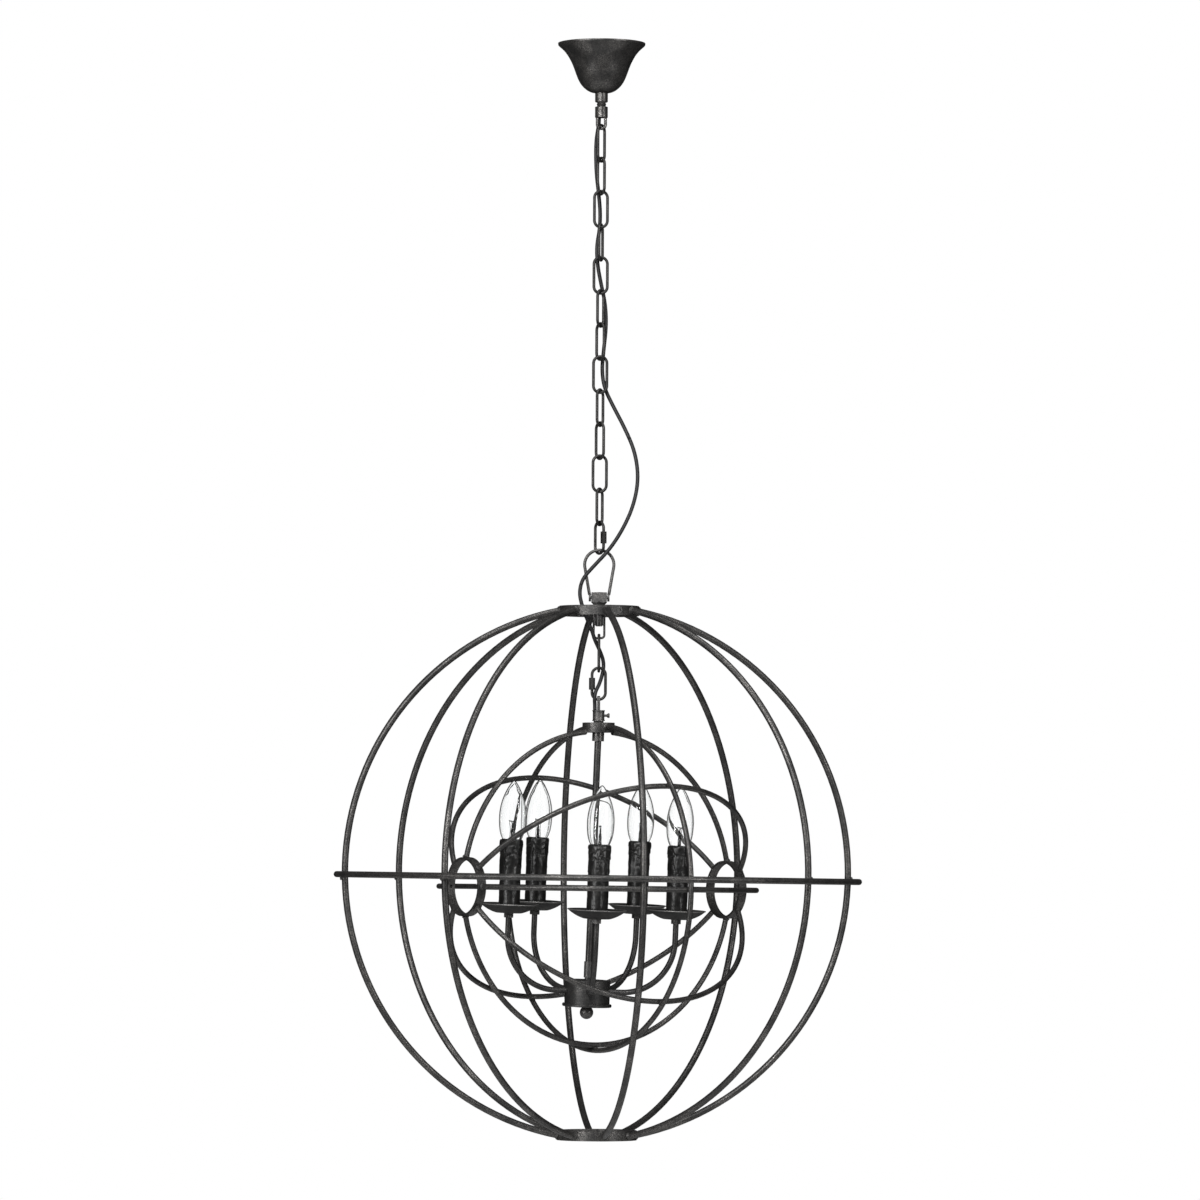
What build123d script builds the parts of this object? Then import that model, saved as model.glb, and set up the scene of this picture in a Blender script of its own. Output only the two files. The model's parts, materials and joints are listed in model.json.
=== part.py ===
"""Orb chandelier: a candle cluster in a horizontal-axis cage, hung inside a larger vertical-axis cage.

The origin is on the ceiling, on the axis of the canopy. Z points up, so the light hangs down in -Z.
X points to the right of the front view and Y points away from it. Lengths are in millimetres.
"""
import os
from math import acos, atan2, cos, degrees, radians, sin, sqrt, tan

from build123d import *

os.makedirs("parts", exist_ok=True)

# ---------------------------------------------------------------------------------------------
# Driving dimensions
# ---------------------------------------------------------------------------------------------

# Fits
running_gap = 0.08  # radial, between a pin or thread and its own hole
joint_gap = 0.4  # between two hanging pieces that swing on each other
chain_gap = 0.1  # between two links of the chain
weld_gap = 0.05  # between crossing bars, filled by the weld
seat_gap = 0.3  # between the lug and the bend of the quick link it hangs on
free_gap = 0.6  # around a tube that passes through a hole at a slight lean

# Ceiling end
bracket_length = 100.0
bracket_width = 20.0
bracket_thickness = 2.0
bracket_screw_spacing = 88.9
bracket_slot_width = 5.0
bracket_slot_length = 12.0
nipple_radius = 5.0
nipple_bore_radius = 3.4
nut_across_flats = 16.0
nut_height = 4.0
block_length = 26.0
block_width = 12.0
block_height = 14.0
terminal_radius = 2.0
canopy_radius = 56.8
canopy_height = 64.4
canopy_lip = 6.9
canopy_foot_radius = 12.6
canopy_wall = 1.2
collar_radius = 8.3
collar_height = 12.2
neck_radius = 6.2
neck_height = 6.0
loop_collar_height = 14.0
loop_collar_chamfer = 0.3
loop_wire = 4.0
loop_half_width = 5.3
loop_drop = 14.1  # from the collar to the centre of the wire at the bottom

# Chain
link_wire = 3.8
link_bend_radius = 8.75
link_span = 46.9  # between the wire centres at a link's two ends
link_yaws = (61, 120, 15, 75, 5, 64, 123, 3, 64, 124, 3, 66)
quick_link_span = 41.0
quick_link_opening = 3.9
quick_link_yaw = 128
sleeve_across_flats = 6.9
sleeve_length = 15.4
sleeve_overlap = 0.1  # how far the closed sleeve reaches past the gap

# Bail and swivel block
bail_wire = 4.0
bail_radius = 19.0
bail_eye_radius = 5.0
bail_eye_thickness = 3.0
bail_height = 61.8  # from the wire centre at the top to the trunnion
trunnion_radius = 2.0
block_across_flats = 20.2
block_above_trunnion = 6.8
block_below_trunnion = 5.0
block_chamfer_height = 4.1
block_top_chamfer = (1.5, 1.0)  # in from the corner and down from the top
block_foot_radius = 6.1
block_foot_height = 4.2
stud_radius = 4.0
stud_reach = 1.0  # how far the stud stands out below its nut

# Outer orb
orb_rib_count = 8
orb_first_rib = -36.0
orb_rib_drifts = (0.0, 1.1, 0.3, 0.0, -1.0, -1.0, 1.7, 0.0)  # how far each rib was set off its place
orb_rib_diameter = 8.5
orb_rib_arc_radius = 347.5
orb_equator_radius = 331.0  # centre of the ribs at the equator
orb_hoop_diameter = 8.0
orb_hoop_tilt = 0.6
orb_hoop_drop = 6.5  # the hoop sits a little below the middle of the ribs
end_ring_radius = 52.0
end_ring_thickness = 3.0
end_ring_height = 12.7
cross_bar_angle = -58.5
cross_bar_width = 16.0
cross_bar_height = 8.0
cross_bar_screw_radius = 2.4
cross_bar_screw_length = 12.0
cross_bar_bore_depth = 16.0
screw_head_radius = 4.2
screw_hole_radius = 4.5
screw_hole_reach = 9.0  # length of the cut that opens a screw hole in the ring
hanger_nut_radius = 5.3
hanger_nut_height = 15.0
stirrup_wire = 3.0
stirrup_half_width = 6.9
stirrup_drop = 31.2
stirrup_corner = 4.0

# Inner orb
lug_thickness = 4.0
lug_radius = 5.2
lug_hole_radius = 2.75
lug_height = 13.4  # from the hole to the top of the collar
lug_collar_radius = 8.2
lug_collar_height = 13.9
lug_collar_bore = 5.4
lug_collar_cap = 4.4
bead_height = 2.3
bead_radius = 6.2
thumb_screw_radius = 1.6
thumb_head_radius = 3.1
thumb_head_taper = 2.0
thumb_tip_chamfer = (0.6, 0.8)  # along the screw and across it
thumb_screw_reach = 14.4  # from the axis to the end of the head
hub_radius = 21.0
hub_thickness = 3.0
hub_height = 12.7
hub_floor = 3.0
cage_yaw = 34.4  # the left end of the polar axis comes forward
cage_lean = 0.5
cage_rib_count = 8
cage_rib_drifts = (0.0, -4.5, 0.0, 0.0, 0.0, 0.0, 0.0, 0.0)  # how far each rib was set off its place
cage_rib_diameter = 7.0
cage_rib_arc_radius = 209.5
cage_equator_radius = 203.8
cage_hoop_diameter = 7.0
cage_hoop_rise = 2.0  # how far the hoop reaches up into the hub ring past its middle
polar_ring_radius = 38.0
polar_ring_thickness = 3.0
polar_ring_width = 12.0
polar_hole_radius = 2.3

# Lamp cluster, measured along its own axis from the middle of the hub ring
lamp_lean = 2.15  # the bottom swings to the left
lamp_pitch = 2.0  # the bottom swings to the back
tube_radius = 4.4
tube_bore_radius = 3.2
hub_nut_radius = 7.75
hub_nut_drop = 17.6
coupling_radius = 5.7
coupling_height = 20.8
coupling_gap = 3.4  # between the coupling and the can
can_radius = 29.45
can_wall = 1.2
can_top = 328.8
can_height = 30.8
cover_radius = 32.2
cover_thickness = 3.8
finial_radius = 8.8
finial_drop = 7.2  # from the cover to the centre of the ball
finial_stud_radius = 2.9
lamp_count = 5
first_lamp = -86.0
lamp_circle_radius = 114.4
arm_radius = 3.75
arm_bore_radius = 2.6
arm_bend_radius = 70.0
arm_hole_drop = 13.9  # from the top of the can to the arms
pan_radius = 38.0
pan_depth = 11.5
pan_wall = 1.0
pan_flat_radius = 17.0
pan_hollow = 0.36  # share of the depth reached half way up the slope
pan_rim_depth = 232.4
pan_nut_radius = 6.5
pan_nut_height = 6.0
candle_radius = 14.3
candle_wall = 1.1
candle_top = 148.6
wax_thickness = 0.7
wax_lip_height = 7.0
drip_radius = 2.0
drip_circle_radius = 13.5
drip_shift = 47.0  # turn of the drips from one candle to the next
drip_lengths = (30.0, 17.0, 42.0, 24.0, 13.0, 36.0, 20.0)
holder_radius = 10.5
holder_height = 86.0
bulb_cap_radius = 6.4
bulb_cap_height = 20.0
bulb_radius = 17.7
bulb_length = 104.6
bulb_glass = 0.9
stem_radius = 3.4
stem_height = 34.0
stem_share = 0.3  # share of that height taken by the thick foot of the stem
support_radius = 1.02

# Supply cord
cord_diameter = 5.0


# ---------------------------------------------------------------------------------------------
# Heights worked out from the sizes above
# ---------------------------------------------------------------------------------------------

wire_step = link_wire + chain_gap
collar_z = -canopy_height
neck_z = collar_z - collar_height
loop_collar_z = neck_z - neck_height
loop_collar_bottom_z = loop_collar_z - loop_collar_height
nipple_bottom_z = loop_collar_z - loop_collar_height / 2
loop_z = loop_collar_bottom_z - loop_drop
first_link_z = loop_z + (loop_wire + link_wire) / 2 + joint_gap
link_pitch = link_span - wire_step
second_link_z = first_link_z - link_span + link_wire + joint_gap
last_link_z = second_link_z - (len(link_yaws) - 2) * link_pitch
quick_link_z = last_link_z - link_pitch
bail_top_z = quick_link_z - quick_link_span + (link_wire + bail_wire) / 2 + joint_gap
trunnion_z = bail_top_z - bail_height
block_bottom_z = trunnion_z - block_below_trunnion - block_chamfer_height
cross_bar_z = block_bottom_z - block_foot_height
top_ring_z = cross_bar_z - cross_bar_height / 2
orb_rib_offset = orb_rib_arc_radius - orb_equator_radius
orb_half_height = sqrt(orb_rib_arc_radius**2 - (end_ring_radius + orb_rib_offset) ** 2)
orb_z = top_ring_z - orb_half_height
bottom_ring_z = orb_z - orb_half_height
bar_bottom_z = cross_bar_z - cross_bar_height
stirrup_z = bar_bottom_z - stirrup_drop
inner_link_z = stirrup_z + (stirrup_wire + link_wire) / 2 + joint_gap
inner_link_bottom_z = inner_link_z - link_span
lower_quick_z = inner_link_bottom_z + link_wire + joint_gap
lower_quick_bottom_z = lower_quick_z - quick_link_span
lug_hole_z = lower_quick_bottom_z + link_wire / 2 + seat_gap - lug_hole_radius
lug_collar_z = lug_hole_z - lug_height
hub_top_z = lug_collar_z - lug_collar_height - bead_height
hub_z = hub_top_z - hub_height / 2
cage_rib_offset = cage_rib_arc_radius - cage_equator_radius
cage_hoop_radius = cage_equator_radius + (cage_rib_diameter + cage_hoop_diameter) / 2 + weld_gap
cage_z = hub_z - cage_hoop_radius + cage_hoop_rise
polar_reach = sqrt(cage_rib_arc_radius**2 - (polar_ring_radius + cage_rib_offset) ** 2)
pan_floor_depth = pan_rim_depth + pan_depth
can_bottom = can_top + can_height
arm_depth = can_top + arm_hole_drop
coupling_top = can_top - coupling_gap - coupling_height
cover_bottom = can_bottom + cover_thickness


# ---------------------------------------------------------------------------------------------
# Planes and shared shapes
# ---------------------------------------------------------------------------------------------


def upright(angle, height):
    """Upright plane on the main axis: its x runs outwards at the angle and its y runs up."""
    outwards = Vector(cos(radians(angle)), sin(radians(angle)), 0)
    return Plane(origin=(0, 0, height), x_dir=outwards, z_dir=outwards.cross(Vector(0, 0, 1)))


def level(height):
    """Level plane on the main axis."""
    return Plane.XY.offset(height)


def placed(plane, frame):
    """The same plane, carried along with a leaning frame."""
    return Plane(frame.location * plane.location)


cage = Plane.XY.offset(cage_z).rotated((0, cage_lean, 0))
lamp = Plane.XY.offset(hub_z).rotated((lamp_pitch, lamp_lean, 0))


def bar(path, radius, bore=0.0):
    """Adds a round bar or tube along a path to the part in hand."""
    with BuildSketch(Plane(origin=path @ 0, z_dir=path % 0)) as section:
        Circle(radius)
        if bore:
            Circle(bore, mode=Mode.SUBTRACT)
    sweep(sections=section.sketch, path=path)


def oval(plane, span, bend):
    """Closed oval path that hangs from the plane's origin."""
    straight = span - 2 * bend
    with BuildLine(plane) as line:
        Line((-bend, -bend - straight), (-bend, -bend))
        CenterArc((0, -bend), bend, 180, -180)
        Line((bend, -bend), (bend, -bend - straight))
        CenterArc((0, -bend - straight), bend, 0, -180)
    return line.wires()[0]


def open_oval(plane, span, bend, gap_foot, opening):
    """The same oval with a gap in its right side, where a quick link opens."""
    straight = span - 2 * bend
    gap_top = gap_foot + opening
    with BuildLine(plane) as line:
        Line((bend, gap_top), (bend, -bend))
        CenterArc((0, -bend), bend, 0, 180)
        Line((-bend, -bend), (-bend, -bend - straight))
        CenterArc((0, -bend - straight), bend, 180, 180)
        Line((bend, -bend - straight), (bend, gap_foot))
    return line.wires()[0]


# ---------------------------------------------------------------------------------------------
# Ceiling end
# ---------------------------------------------------------------------------------------------

with BuildPart() as ceiling_bracket:
    with BuildSketch(level(-bracket_thickness)):
        Rectangle(bracket_length, bracket_width)
        fillet(vertices(), bracket_width / 4)
        Circle(nipple_radius + running_gap, mode=Mode.SUBTRACT)
        with GridLocations(bracket_screw_spacing, 0, 2, 1):
            SlotOverall(bracket_slot_length, bracket_slot_width, mode=Mode.SUBTRACT)
    extrude(amount=bracket_thickness)
ceiling_bracket.part.label = "ceiling_bracket"
export_step(ceiling_bracket.part, "parts/ceiling_bracket.step")

with BuildPart() as canopy_nipple:
    with BuildSketch(level(nipple_bottom_z)):
        Circle(nipple_radius)
        Circle(nipple_bore_radius, mode=Mode.SUBTRACT)
    extrude(amount=-nipple_bottom_z - running_gap)
canopy_nipple.part.label = "canopy_nipple"
export_step(canopy_nipple.part, "parts/canopy_nipple.step")

with BuildPart() as bracket_nut:
    with BuildSketch(level(-bracket_thickness - nut_height)):
        RegularPolygon(nut_across_flats / 2, 6, major_radius=False)
        Circle(nipple_radius + running_gap, mode=Mode.SUBTRACT)
    extrude(amount=nut_height)
bracket_nut.part.label = "bracket_nut"
export_step(bracket_nut.part, "parts/bracket_nut.step")

with BuildPart(Plane.XY.offset(-bracket_thickness)) as terminal_block:
    block_x = nut_across_flats * 0.6 + block_length / 2
    with Locations((block_x, 0, -block_height / 2)):
        Box(block_length, block_width, block_height)
    with BuildSketch(Plane.XZ.offset(-block_width / 2)):
        with Locations((block_x, -bracket_thickness - block_height * 0.6)):
            with GridLocations(block_length / 3, 0, 3, 1):
                Circle(terminal_radius)
    extrude(amount=block_width, mode=Mode.SUBTRACT)
terminal_block.part.label = "terminal_block"
export_step(terminal_block.part, "parts/terminal_block.step")


def bell(inset):
    """Half section of the bell, drawn inwards from its outside by the wall."""
    lip_radius = canopy_radius - inset
    foot_z = -canopy_height + inset
    with BuildSketch(Plane.XZ) as section:
        with BuildLine():
            Polyline((0, foot_z), (0, 0), (lip_radius, 0), (lip_radius, -canopy_lip + inset))
            Spline(
                (lip_radius, -canopy_lip + inset),
                (canopy_radius * 0.82 - inset, -canopy_height * 0.185 + inset * 0.6),
                (canopy_radius * 0.672 - inset, -canopy_height * 0.405),
                (canopy_radius * 0.56 - inset, -canopy_height * 0.677 + inset * 0.2),
                (canopy_radius * 0.43 - inset * 0.8, -canopy_height * 0.863 + inset * 0.5),
                (canopy_foot_radius, foot_z),
                tangents=((-1, -0.1), (-1, -0.25)),
            )
            Line((canopy_foot_radius, foot_z), (0, foot_z))
        make_face()
    return section.sketch


with BuildPart() as canopy:
    revolve(bell(0), axis=Axis.Z)
    revolve(bell(canopy_wall), axis=Axis.Z, mode=Mode.SUBTRACT)
    with BuildSketch(level(-canopy_height)):
        Circle(nipple_radius + running_gap)
    extrude(amount=2 * canopy_wall, mode=Mode.SUBTRACT)
canopy.part.label = "canopy"
export_step(canopy.part, "parts/canopy.step")

with BuildPart() as canopy_collar:
    rim = collar_radius * 0.09
    with BuildSketch(Plane.XZ) as section:
        with BuildLine():
            Polyline(
                (nipple_radius + running_gap, collar_z),
                (collar_radius - rim, collar_z),
                (collar_radius, collar_z - rim),
                (collar_radius, neck_z + rim),
                (collar_radius - rim, neck_z),
                (neck_radius, neck_z),
                (neck_radius - rim, neck_z - neck_height * 0.2),
                (neck_radius, neck_z - neck_height * 0.5),
                (neck_radius - rim, neck_z - neck_height * 0.8),
                (neck_radius, loop_collar_z),
                (nipple_radius + running_gap, loop_collar_z),
                close=True,
            )
        make_face()
    revolve(axis=Axis.Z)
canopy_collar.part.label = "canopy_collar"
export_step(canopy_collar.part, "parts/canopy_collar.step")

cord_exit = (-3.0, 4.6)  # where the cord leaves the loop collar, beside the stirrup's wire

with BuildPart() as canopy_loop:
    with BuildSketch(level(loop_collar_bottom_z)):
        Circle(collar_radius)
    extrude(amount=loop_collar_height)
    chamfer(canopy_loop.edges().filter_by(GeomType.CIRCLE), loop_collar_chamfer)
    with BuildSketch(level(loop_collar_z)):
        Circle(nipple_radius + running_gap)
    extrude(amount=-loop_collar_height / 2 - running_gap, mode=Mode.SUBTRACT)
    with BuildLine(Plane.XZ) as stirrup_line:
        FilletPolyline(
            (-loop_half_width, loop_collar_bottom_z + loop_wire / 2),
            (-loop_half_width, loop_z),
            (loop_half_width, loop_z),
            (loop_half_width, loop_collar_bottom_z + loop_wire / 2),
            radius=loop_half_width * 0.95,
        )
    bar(stirrup_line.wires()[0], loop_wire / 2)
canopy_loop.part.label = "canopy_loop"
export_step(canopy_loop.part, "parts/canopy_loop.step")


# ---------------------------------------------------------------------------------------------
# Chain and quick links
# ---------------------------------------------------------------------------------------------

with BuildPart() as chain_link_01:
    bar(oval(upright(link_yaws[0], first_link_z), link_span, link_bend_radius), link_wire / 2)
chain_link_01.part.label = "chain_link_01"
export_step(chain_link_01.part, "parts/chain_link_01.step")

with BuildPart() as chain_links:
    for count, yaw in enumerate(link_yaws[1:]):
        link_z = second_link_z - count * link_pitch
        bar(oval(upright(yaw, link_z), link_span, link_bend_radius), link_wire / 2)
chain_links.part.label = "chain_links"
export_step(chain_links.part, "parts/chain_links.step")


def quick_link(plane):
    """Oval link with a gap in its right side, low enough for the sleeve to clear when it is raised."""
    gap_foot = -(quick_link_span + sleeve_length) / 2 + sleeve_overlap
    path = open_oval(plane, quick_link_span, link_bend_radius, gap_foot, quick_link_opening)
    with BuildPart() as body:
        bar(path, link_wire / 2)
    return body.part


def link_sleeve(plane):
    """Hexagon sleeve that screws over the gap of a quick link."""
    middle = -quick_link_span / 2
    foot = Plane(plane.location * Location((link_bend_radius, middle - sleeve_length / 2, 0), (-90, 0, 0)))
    with BuildPart() as sleeve:
        with BuildSketch(foot):
            RegularPolygon(sleeve_across_flats / 2, 6, major_radius=False)
            Circle(link_wire / 2 + running_gap, mode=Mode.SUBTRACT)
        extrude(amount=sleeve_length)
    return sleeve.part


upper_quick_plane = upright(quick_link_yaw - 180, quick_link_z)
with BuildPart() as upper_quick_link:
    add(quick_link(upper_quick_plane))
upper_quick_link.part.label = "upper_quick_link"
export_step(upper_quick_link.part, "parts/upper_quick_link.step")

with BuildPart() as upper_link_sleeve:
    add(link_sleeve(upper_quick_plane))
upper_link_sleeve.part.label = "upper_link_sleeve"
export_step(upper_link_sleeve.part, "parts/upper_link_sleeve.step")


# ---------------------------------------------------------------------------------------------
# Bail and swivel block
# ---------------------------------------------------------------------------------------------

eye_inside = block_across_flats / 2 + joint_gap
leg_x = eye_inside + bail_wire / 2
bail_centre_z = bail_top_z - bail_radius
leg_end_z = trunnion_z + bail_eye_radius * 0.7
leg_reach = sqrt(leg_x**2 + (bail_centre_z - leg_end_z) ** 2)
leg_angle = degrees(atan2(leg_end_z - bail_centre_z, leg_x) + acos(bail_radius / leg_reach))

with BuildPart() as bail:
    with BuildLine(Plane.XZ) as bail_line:
        bow = CenterArc((0, bail_centre_z), bail_radius, leg_angle, 180 - 2 * leg_angle)
        Line((leg_x, leg_end_z), bow @ 0)
        Line(bow @ 1, (-leg_x, leg_end_z))
    bar(bail_line.wires()[0], bail_wire / 2)
    for side in (-1, 1):
        with BuildSketch(Plane.YZ.offset(side * eye_inside)):
            with Locations((0, trunnion_z)):
                Circle(bail_eye_radius)
        extrude(amount=side * bail_eye_thickness)
    with BuildSketch(Plane.YZ.offset(-2 * leg_x)):
        with Locations((0, trunnion_z)):
            Circle(trunnion_radius + running_gap)
    extrude(amount=4 * leg_x, mode=Mode.SUBTRACT)
bail.part.label = "bail"
export_step(bail.part, "parts/bail.step")

block_top_z = trunnion_z + block_above_trunnion
block_corner = block_across_flats / sqrt(3)
with BuildPart() as bail_block:
    with BuildSketch(level(block_bottom_z)):
        RegularPolygon(block_across_flats / 2, 6, major_radius=False, rotation=30)
    extrude(amount=block_top_z - block_bottom_z)
    with BuildSketch(Plane.XZ) as envelope:
        with BuildLine():
            Polyline(
                (0, block_bottom_z),
                (block_corner - block_chamfer_height, block_bottom_z),
                (block_corner, block_bottom_z + block_chamfer_height),
                (block_corner, block_top_z - block_top_chamfer[1]),
                (block_corner - block_top_chamfer[0], block_top_z),
                (0, block_top_z),
                close=True,
            )
        make_face()
    revolve(axis=Axis.Z, mode=Mode.INTERSECT)
    with BuildSketch(Plane.YZ.offset(-eye_inside - bail_eye_thickness)):
        with Locations((0, trunnion_z)):
            Circle(trunnion_radius)
    extrude(amount=2 * (eye_inside + bail_eye_thickness))
    with BuildSketch(level(block_bottom_z)):
        Circle(block_foot_radius)
    extrude(amount=-block_foot_height)
    with BuildSketch(level(cross_bar_z)):
        Circle(stud_radius)
    extrude(amount=-cross_bar_height - hanger_nut_height - stud_reach)
bail_block.part.label = "bail_block"
export_step(bail_block.part, "parts/bail_block.step")


# ---------------------------------------------------------------------------------------------
# Outer orb
# ---------------------------------------------------------------------------------------------


def band(plane, radius, thickness, height):
    """Flat band bent into a ring, standing half above and half below the plane."""
    with BuildPart() as ring:
        with BuildSketch(plane.offset(-height / 2)):
            Circle(radius)
            Circle(radius - thickness, mode=Mode.SUBTRACT)
        extrude(amount=height)
    return ring.part


screw_plane = upright(cross_bar_angle, top_ring_z)
screw_faces = [
    Plane(screw_plane.location * Location((side * end_ring_radius, 0, 0), (0, side * 90, 0)))
    for side in (-1, 1)
]
with BuildPart() as outer_top_ring:
    add(band(level(top_ring_z), end_ring_radius, end_ring_thickness, end_ring_height))
    for face_plane in screw_faces:
        with BuildSketch(face_plane.offset(end_ring_thickness)):
            Circle(screw_hole_radius)
        extrude(amount=-screw_hole_reach, mode=Mode.SUBTRACT)
outer_top_ring.part.label = "outer_top_ring"
export_step(outer_top_ring.part, "parts/outer_top_ring.step")

with BuildPart() as outer_bottom_ring:
    add(band(level(bottom_ring_z), end_ring_radius, end_ring_thickness, end_ring_height))
outer_bottom_ring.part.label = "outer_bottom_ring"
export_step(outer_bottom_ring.part, "parts/outer_bottom_ring.step")

with BuildPart() as cross_bar:
    with BuildSketch(Plane(level(bar_bottom_z).location * Location((0, 0, 0), cross_bar_angle))):
        Rectangle(2 * end_ring_radius, cross_bar_width)
        Circle(end_ring_radius - end_ring_thickness - weld_gap, mode=Mode.INTERSECT)
        Circle(stud_radius + running_gap, mode=Mode.SUBTRACT)
    extrude(amount=cross_bar_height)
    for face_plane in screw_faces:
        with BuildSketch(face_plane):
            Circle(cross_bar_screw_radius + running_gap)
        extrude(amount=-cross_bar_bore_depth, mode=Mode.SUBTRACT)
cross_bar.part.label = "cross_bar"
export_step(cross_bar.part, "parts/cross_bar.step")

with BuildPart() as cross_bar_screws:
    for face_plane in screw_faces:
        with BuildSketch(face_plane.offset(-end_ring_thickness)):
            Circle(screw_head_radius)
        extrude(amount=end_ring_thickness * 0.7)
        with BuildSketch(face_plane.offset(-end_ring_thickness)):
            Circle(cross_bar_screw_radius)
        extrude(amount=-cross_bar_screw_length)
        with BuildSketch(face_plane.offset(-end_ring_thickness * 0.3)):
            RegularPolygon(screw_head_radius * 0.5, 6)
        extrude(amount=-end_ring_thickness * 0.5, mode=Mode.SUBTRACT)
cross_bar_screws.part.label = "cross_bar_screws"
export_step(cross_bar_screws.part, "parts/cross_bar_screws.step")

rib_reach = degrees(acos((end_ring_radius - end_ring_thickness + orb_rib_offset) / orb_rib_arc_radius))
for number in range(orb_rib_count):
    rib_angle = orb_first_rib + orb_rib_drifts[number] - number * 360 / orb_rib_count
    with BuildPart() as outer_rib:
        with BuildLine(upright(rib_angle, orb_z)) as rib_line:
            CenterArc((-orb_rib_offset, 0), orb_rib_arc_radius, -rib_reach, 2 * rib_reach)
        bar(rib_line.wires()[0], orb_rib_diameter / 2)
        with BuildSketch(level(bottom_ring_z - end_ring_height)):
            Circle(end_ring_radius)
        extrude(amount=2 * orb_half_height + 2 * end_ring_height, mode=Mode.SUBTRACT)
    outer_rib.part.label = f"outer_rib_{number + 1}"
    export_step(outer_rib.part, f"parts/{outer_rib.part.label}.step")

orb_hoop_radius = orb_equator_radius + (orb_rib_diameter + orb_hoop_diameter) / 2 + weld_gap
with BuildPart(level(orb_z - orb_hoop_drop).rotated((0, orb_hoop_tilt, 0))) as outer_equator_ring:
    Torus(orb_hoop_radius, orb_hoop_diameter / 2)
outer_equator_ring.part.label = "outer_equator_ring"
export_step(outer_equator_ring.part, "parts/outer_equator_ring.step")

with BuildPart() as hanger_nut:
    with BuildSketch(level(bar_bottom_z - hanger_nut_height)):
        Circle(hanger_nut_radius)
        Circle(stud_radius + running_gap, mode=Mode.SUBTRACT)
    extrude(amount=hanger_nut_height)
hanger_nut.part.label = "hanger_nut"
export_step(hanger_nut.part, "parts/hanger_nut.step")

with BuildPart() as stirrup:
    with BuildLine(Plane.XZ) as stirrup_path:
        FilletPolyline(
            (-stirrup_half_width, bar_bottom_z),
            (-stirrup_half_width, stirrup_z),
            (stirrup_half_width, stirrup_z),
            (stirrup_half_width, bar_bottom_z),
            radius=stirrup_corner,
        )
    bar(stirrup_path.wires()[0], stirrup_wire / 2)
stirrup.part.label = "stirrup"
export_step(stirrup.part, "parts/stirrup.step")


# ---------------------------------------------------------------------------------------------
# Inner suspension
# ---------------------------------------------------------------------------------------------

with BuildPart() as inner_link:
    bar(oval(upright(90, inner_link_z), link_span, link_bend_radius), link_wire / 2)
inner_link.part.label = "inner_link"
export_step(inner_link.part, "parts/inner_link.step")

lower_quick_plane = upright(180, lower_quick_z)
with BuildPart() as lower_quick_link:
    add(quick_link(lower_quick_plane))
lower_quick_link.part.label = "lower_quick_link"
export_step(lower_quick_link.part, "parts/lower_quick_link.step")

with BuildPart() as lower_link_sleeve:
    add(link_sleeve(lower_quick_plane))
lower_link_sleeve.part.label = "lower_link_sleeve"
export_step(lower_link_sleeve.part, "parts/lower_link_sleeve.step")

thumb_z = lug_collar_z - lug_collar_height / 2
collar_bottom_z = lug_collar_z - lug_collar_height
with BuildPart() as inner_collar:
    rim = lug_collar_radius * 0.07
    with BuildSketch(Plane.XZ):
        with BuildLine():
            Polyline(
                (0, lug_collar_z),
                (lug_collar_radius, lug_collar_z),
                (lug_collar_radius, lug_collar_z - 2 * rim),
                (lug_collar_radius - rim, lug_collar_z - 3 * rim),
                (lug_collar_radius - rim, collar_bottom_z + 3 * rim),
                (lug_collar_radius, collar_bottom_z + 2 * rim),
                (lug_collar_radius, collar_bottom_z),
                (bead_radius, collar_bottom_z),
                (bead_radius + rim, collar_bottom_z - bead_height / 2),
                (bead_radius, hub_top_z),
                (lug_collar_bore, hub_top_z),
                (lug_collar_bore, lug_collar_z - lug_collar_cap),
                (0, lug_collar_z - lug_collar_cap),
                close=True,
            )
        make_face()
    revolve(axis=Axis.Z)
    with BuildSketch(Plane.YZ.offset(-lug_thickness / 2)):
        with Locations((0, lug_hole_z)):
            Circle(lug_radius)
        with Locations((0, lug_hole_z - lug_height / 2)):
            Rectangle(2 * lug_radius, lug_height)
        with Locations((0, lug_hole_z)):
            Circle(lug_hole_radius, mode=Mode.SUBTRACT)
    extrude(amount=lug_thickness)
    with BuildSketch(Plane.YZ):
        with Locations((0, thumb_z)):
            Circle(thumb_screw_radius + running_gap)
    extrude(amount=2 * lug_collar_radius, mode=Mode.SUBTRACT)
inner_collar.part.label = "inner_collar"
export_step(inner_collar.part, "parts/inner_collar.step")

with BuildPart() as thumb_screw:
    head_start = thumb_screw_reach - thumb_head_radius - thumb_head_taper / 2
    with BuildSketch(Plane.XZ):
        with BuildLine():
            Polyline(
                (lug_collar_bore, thumb_z),
                (lug_collar_bore, thumb_z + thumb_screw_radius),
                (head_start, thumb_z + thumb_screw_radius),
                (head_start + thumb_head_taper, thumb_z + thumb_head_radius),
                (thumb_screw_reach - thumb_tip_chamfer[0], thumb_z + thumb_head_radius),
                (thumb_screw_reach, thumb_z + thumb_head_radius - thumb_tip_chamfer[1]),
                (thumb_screw_reach, thumb_z),
                close=True,
            )
        make_face()
    revolve(axis=Axis((0, 0, thumb_z), (1, 0, 0)))
thumb_screw.part.label = "thumb_screw"
export_step(thumb_screw.part, "parts/thumb_screw.step")

with BuildPart() as hub_ring:
    add(band(level(hub_z), hub_radius, hub_thickness, hub_height))
    with BuildSketch(level(hub_top_z)):
        Circle(hub_radius - hub_thickness / 2)
        Circle(tube_radius + free_gap, mode=Mode.SUBTRACT)
    extrude(amount=-hub_floor)
hub_ring.part.label = "hub_ring"
export_step(hub_ring.part, "parts/hub_ring.step")


# ---------------------------------------------------------------------------------------------
# Inner cage
# ---------------------------------------------------------------------------------------------

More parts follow.
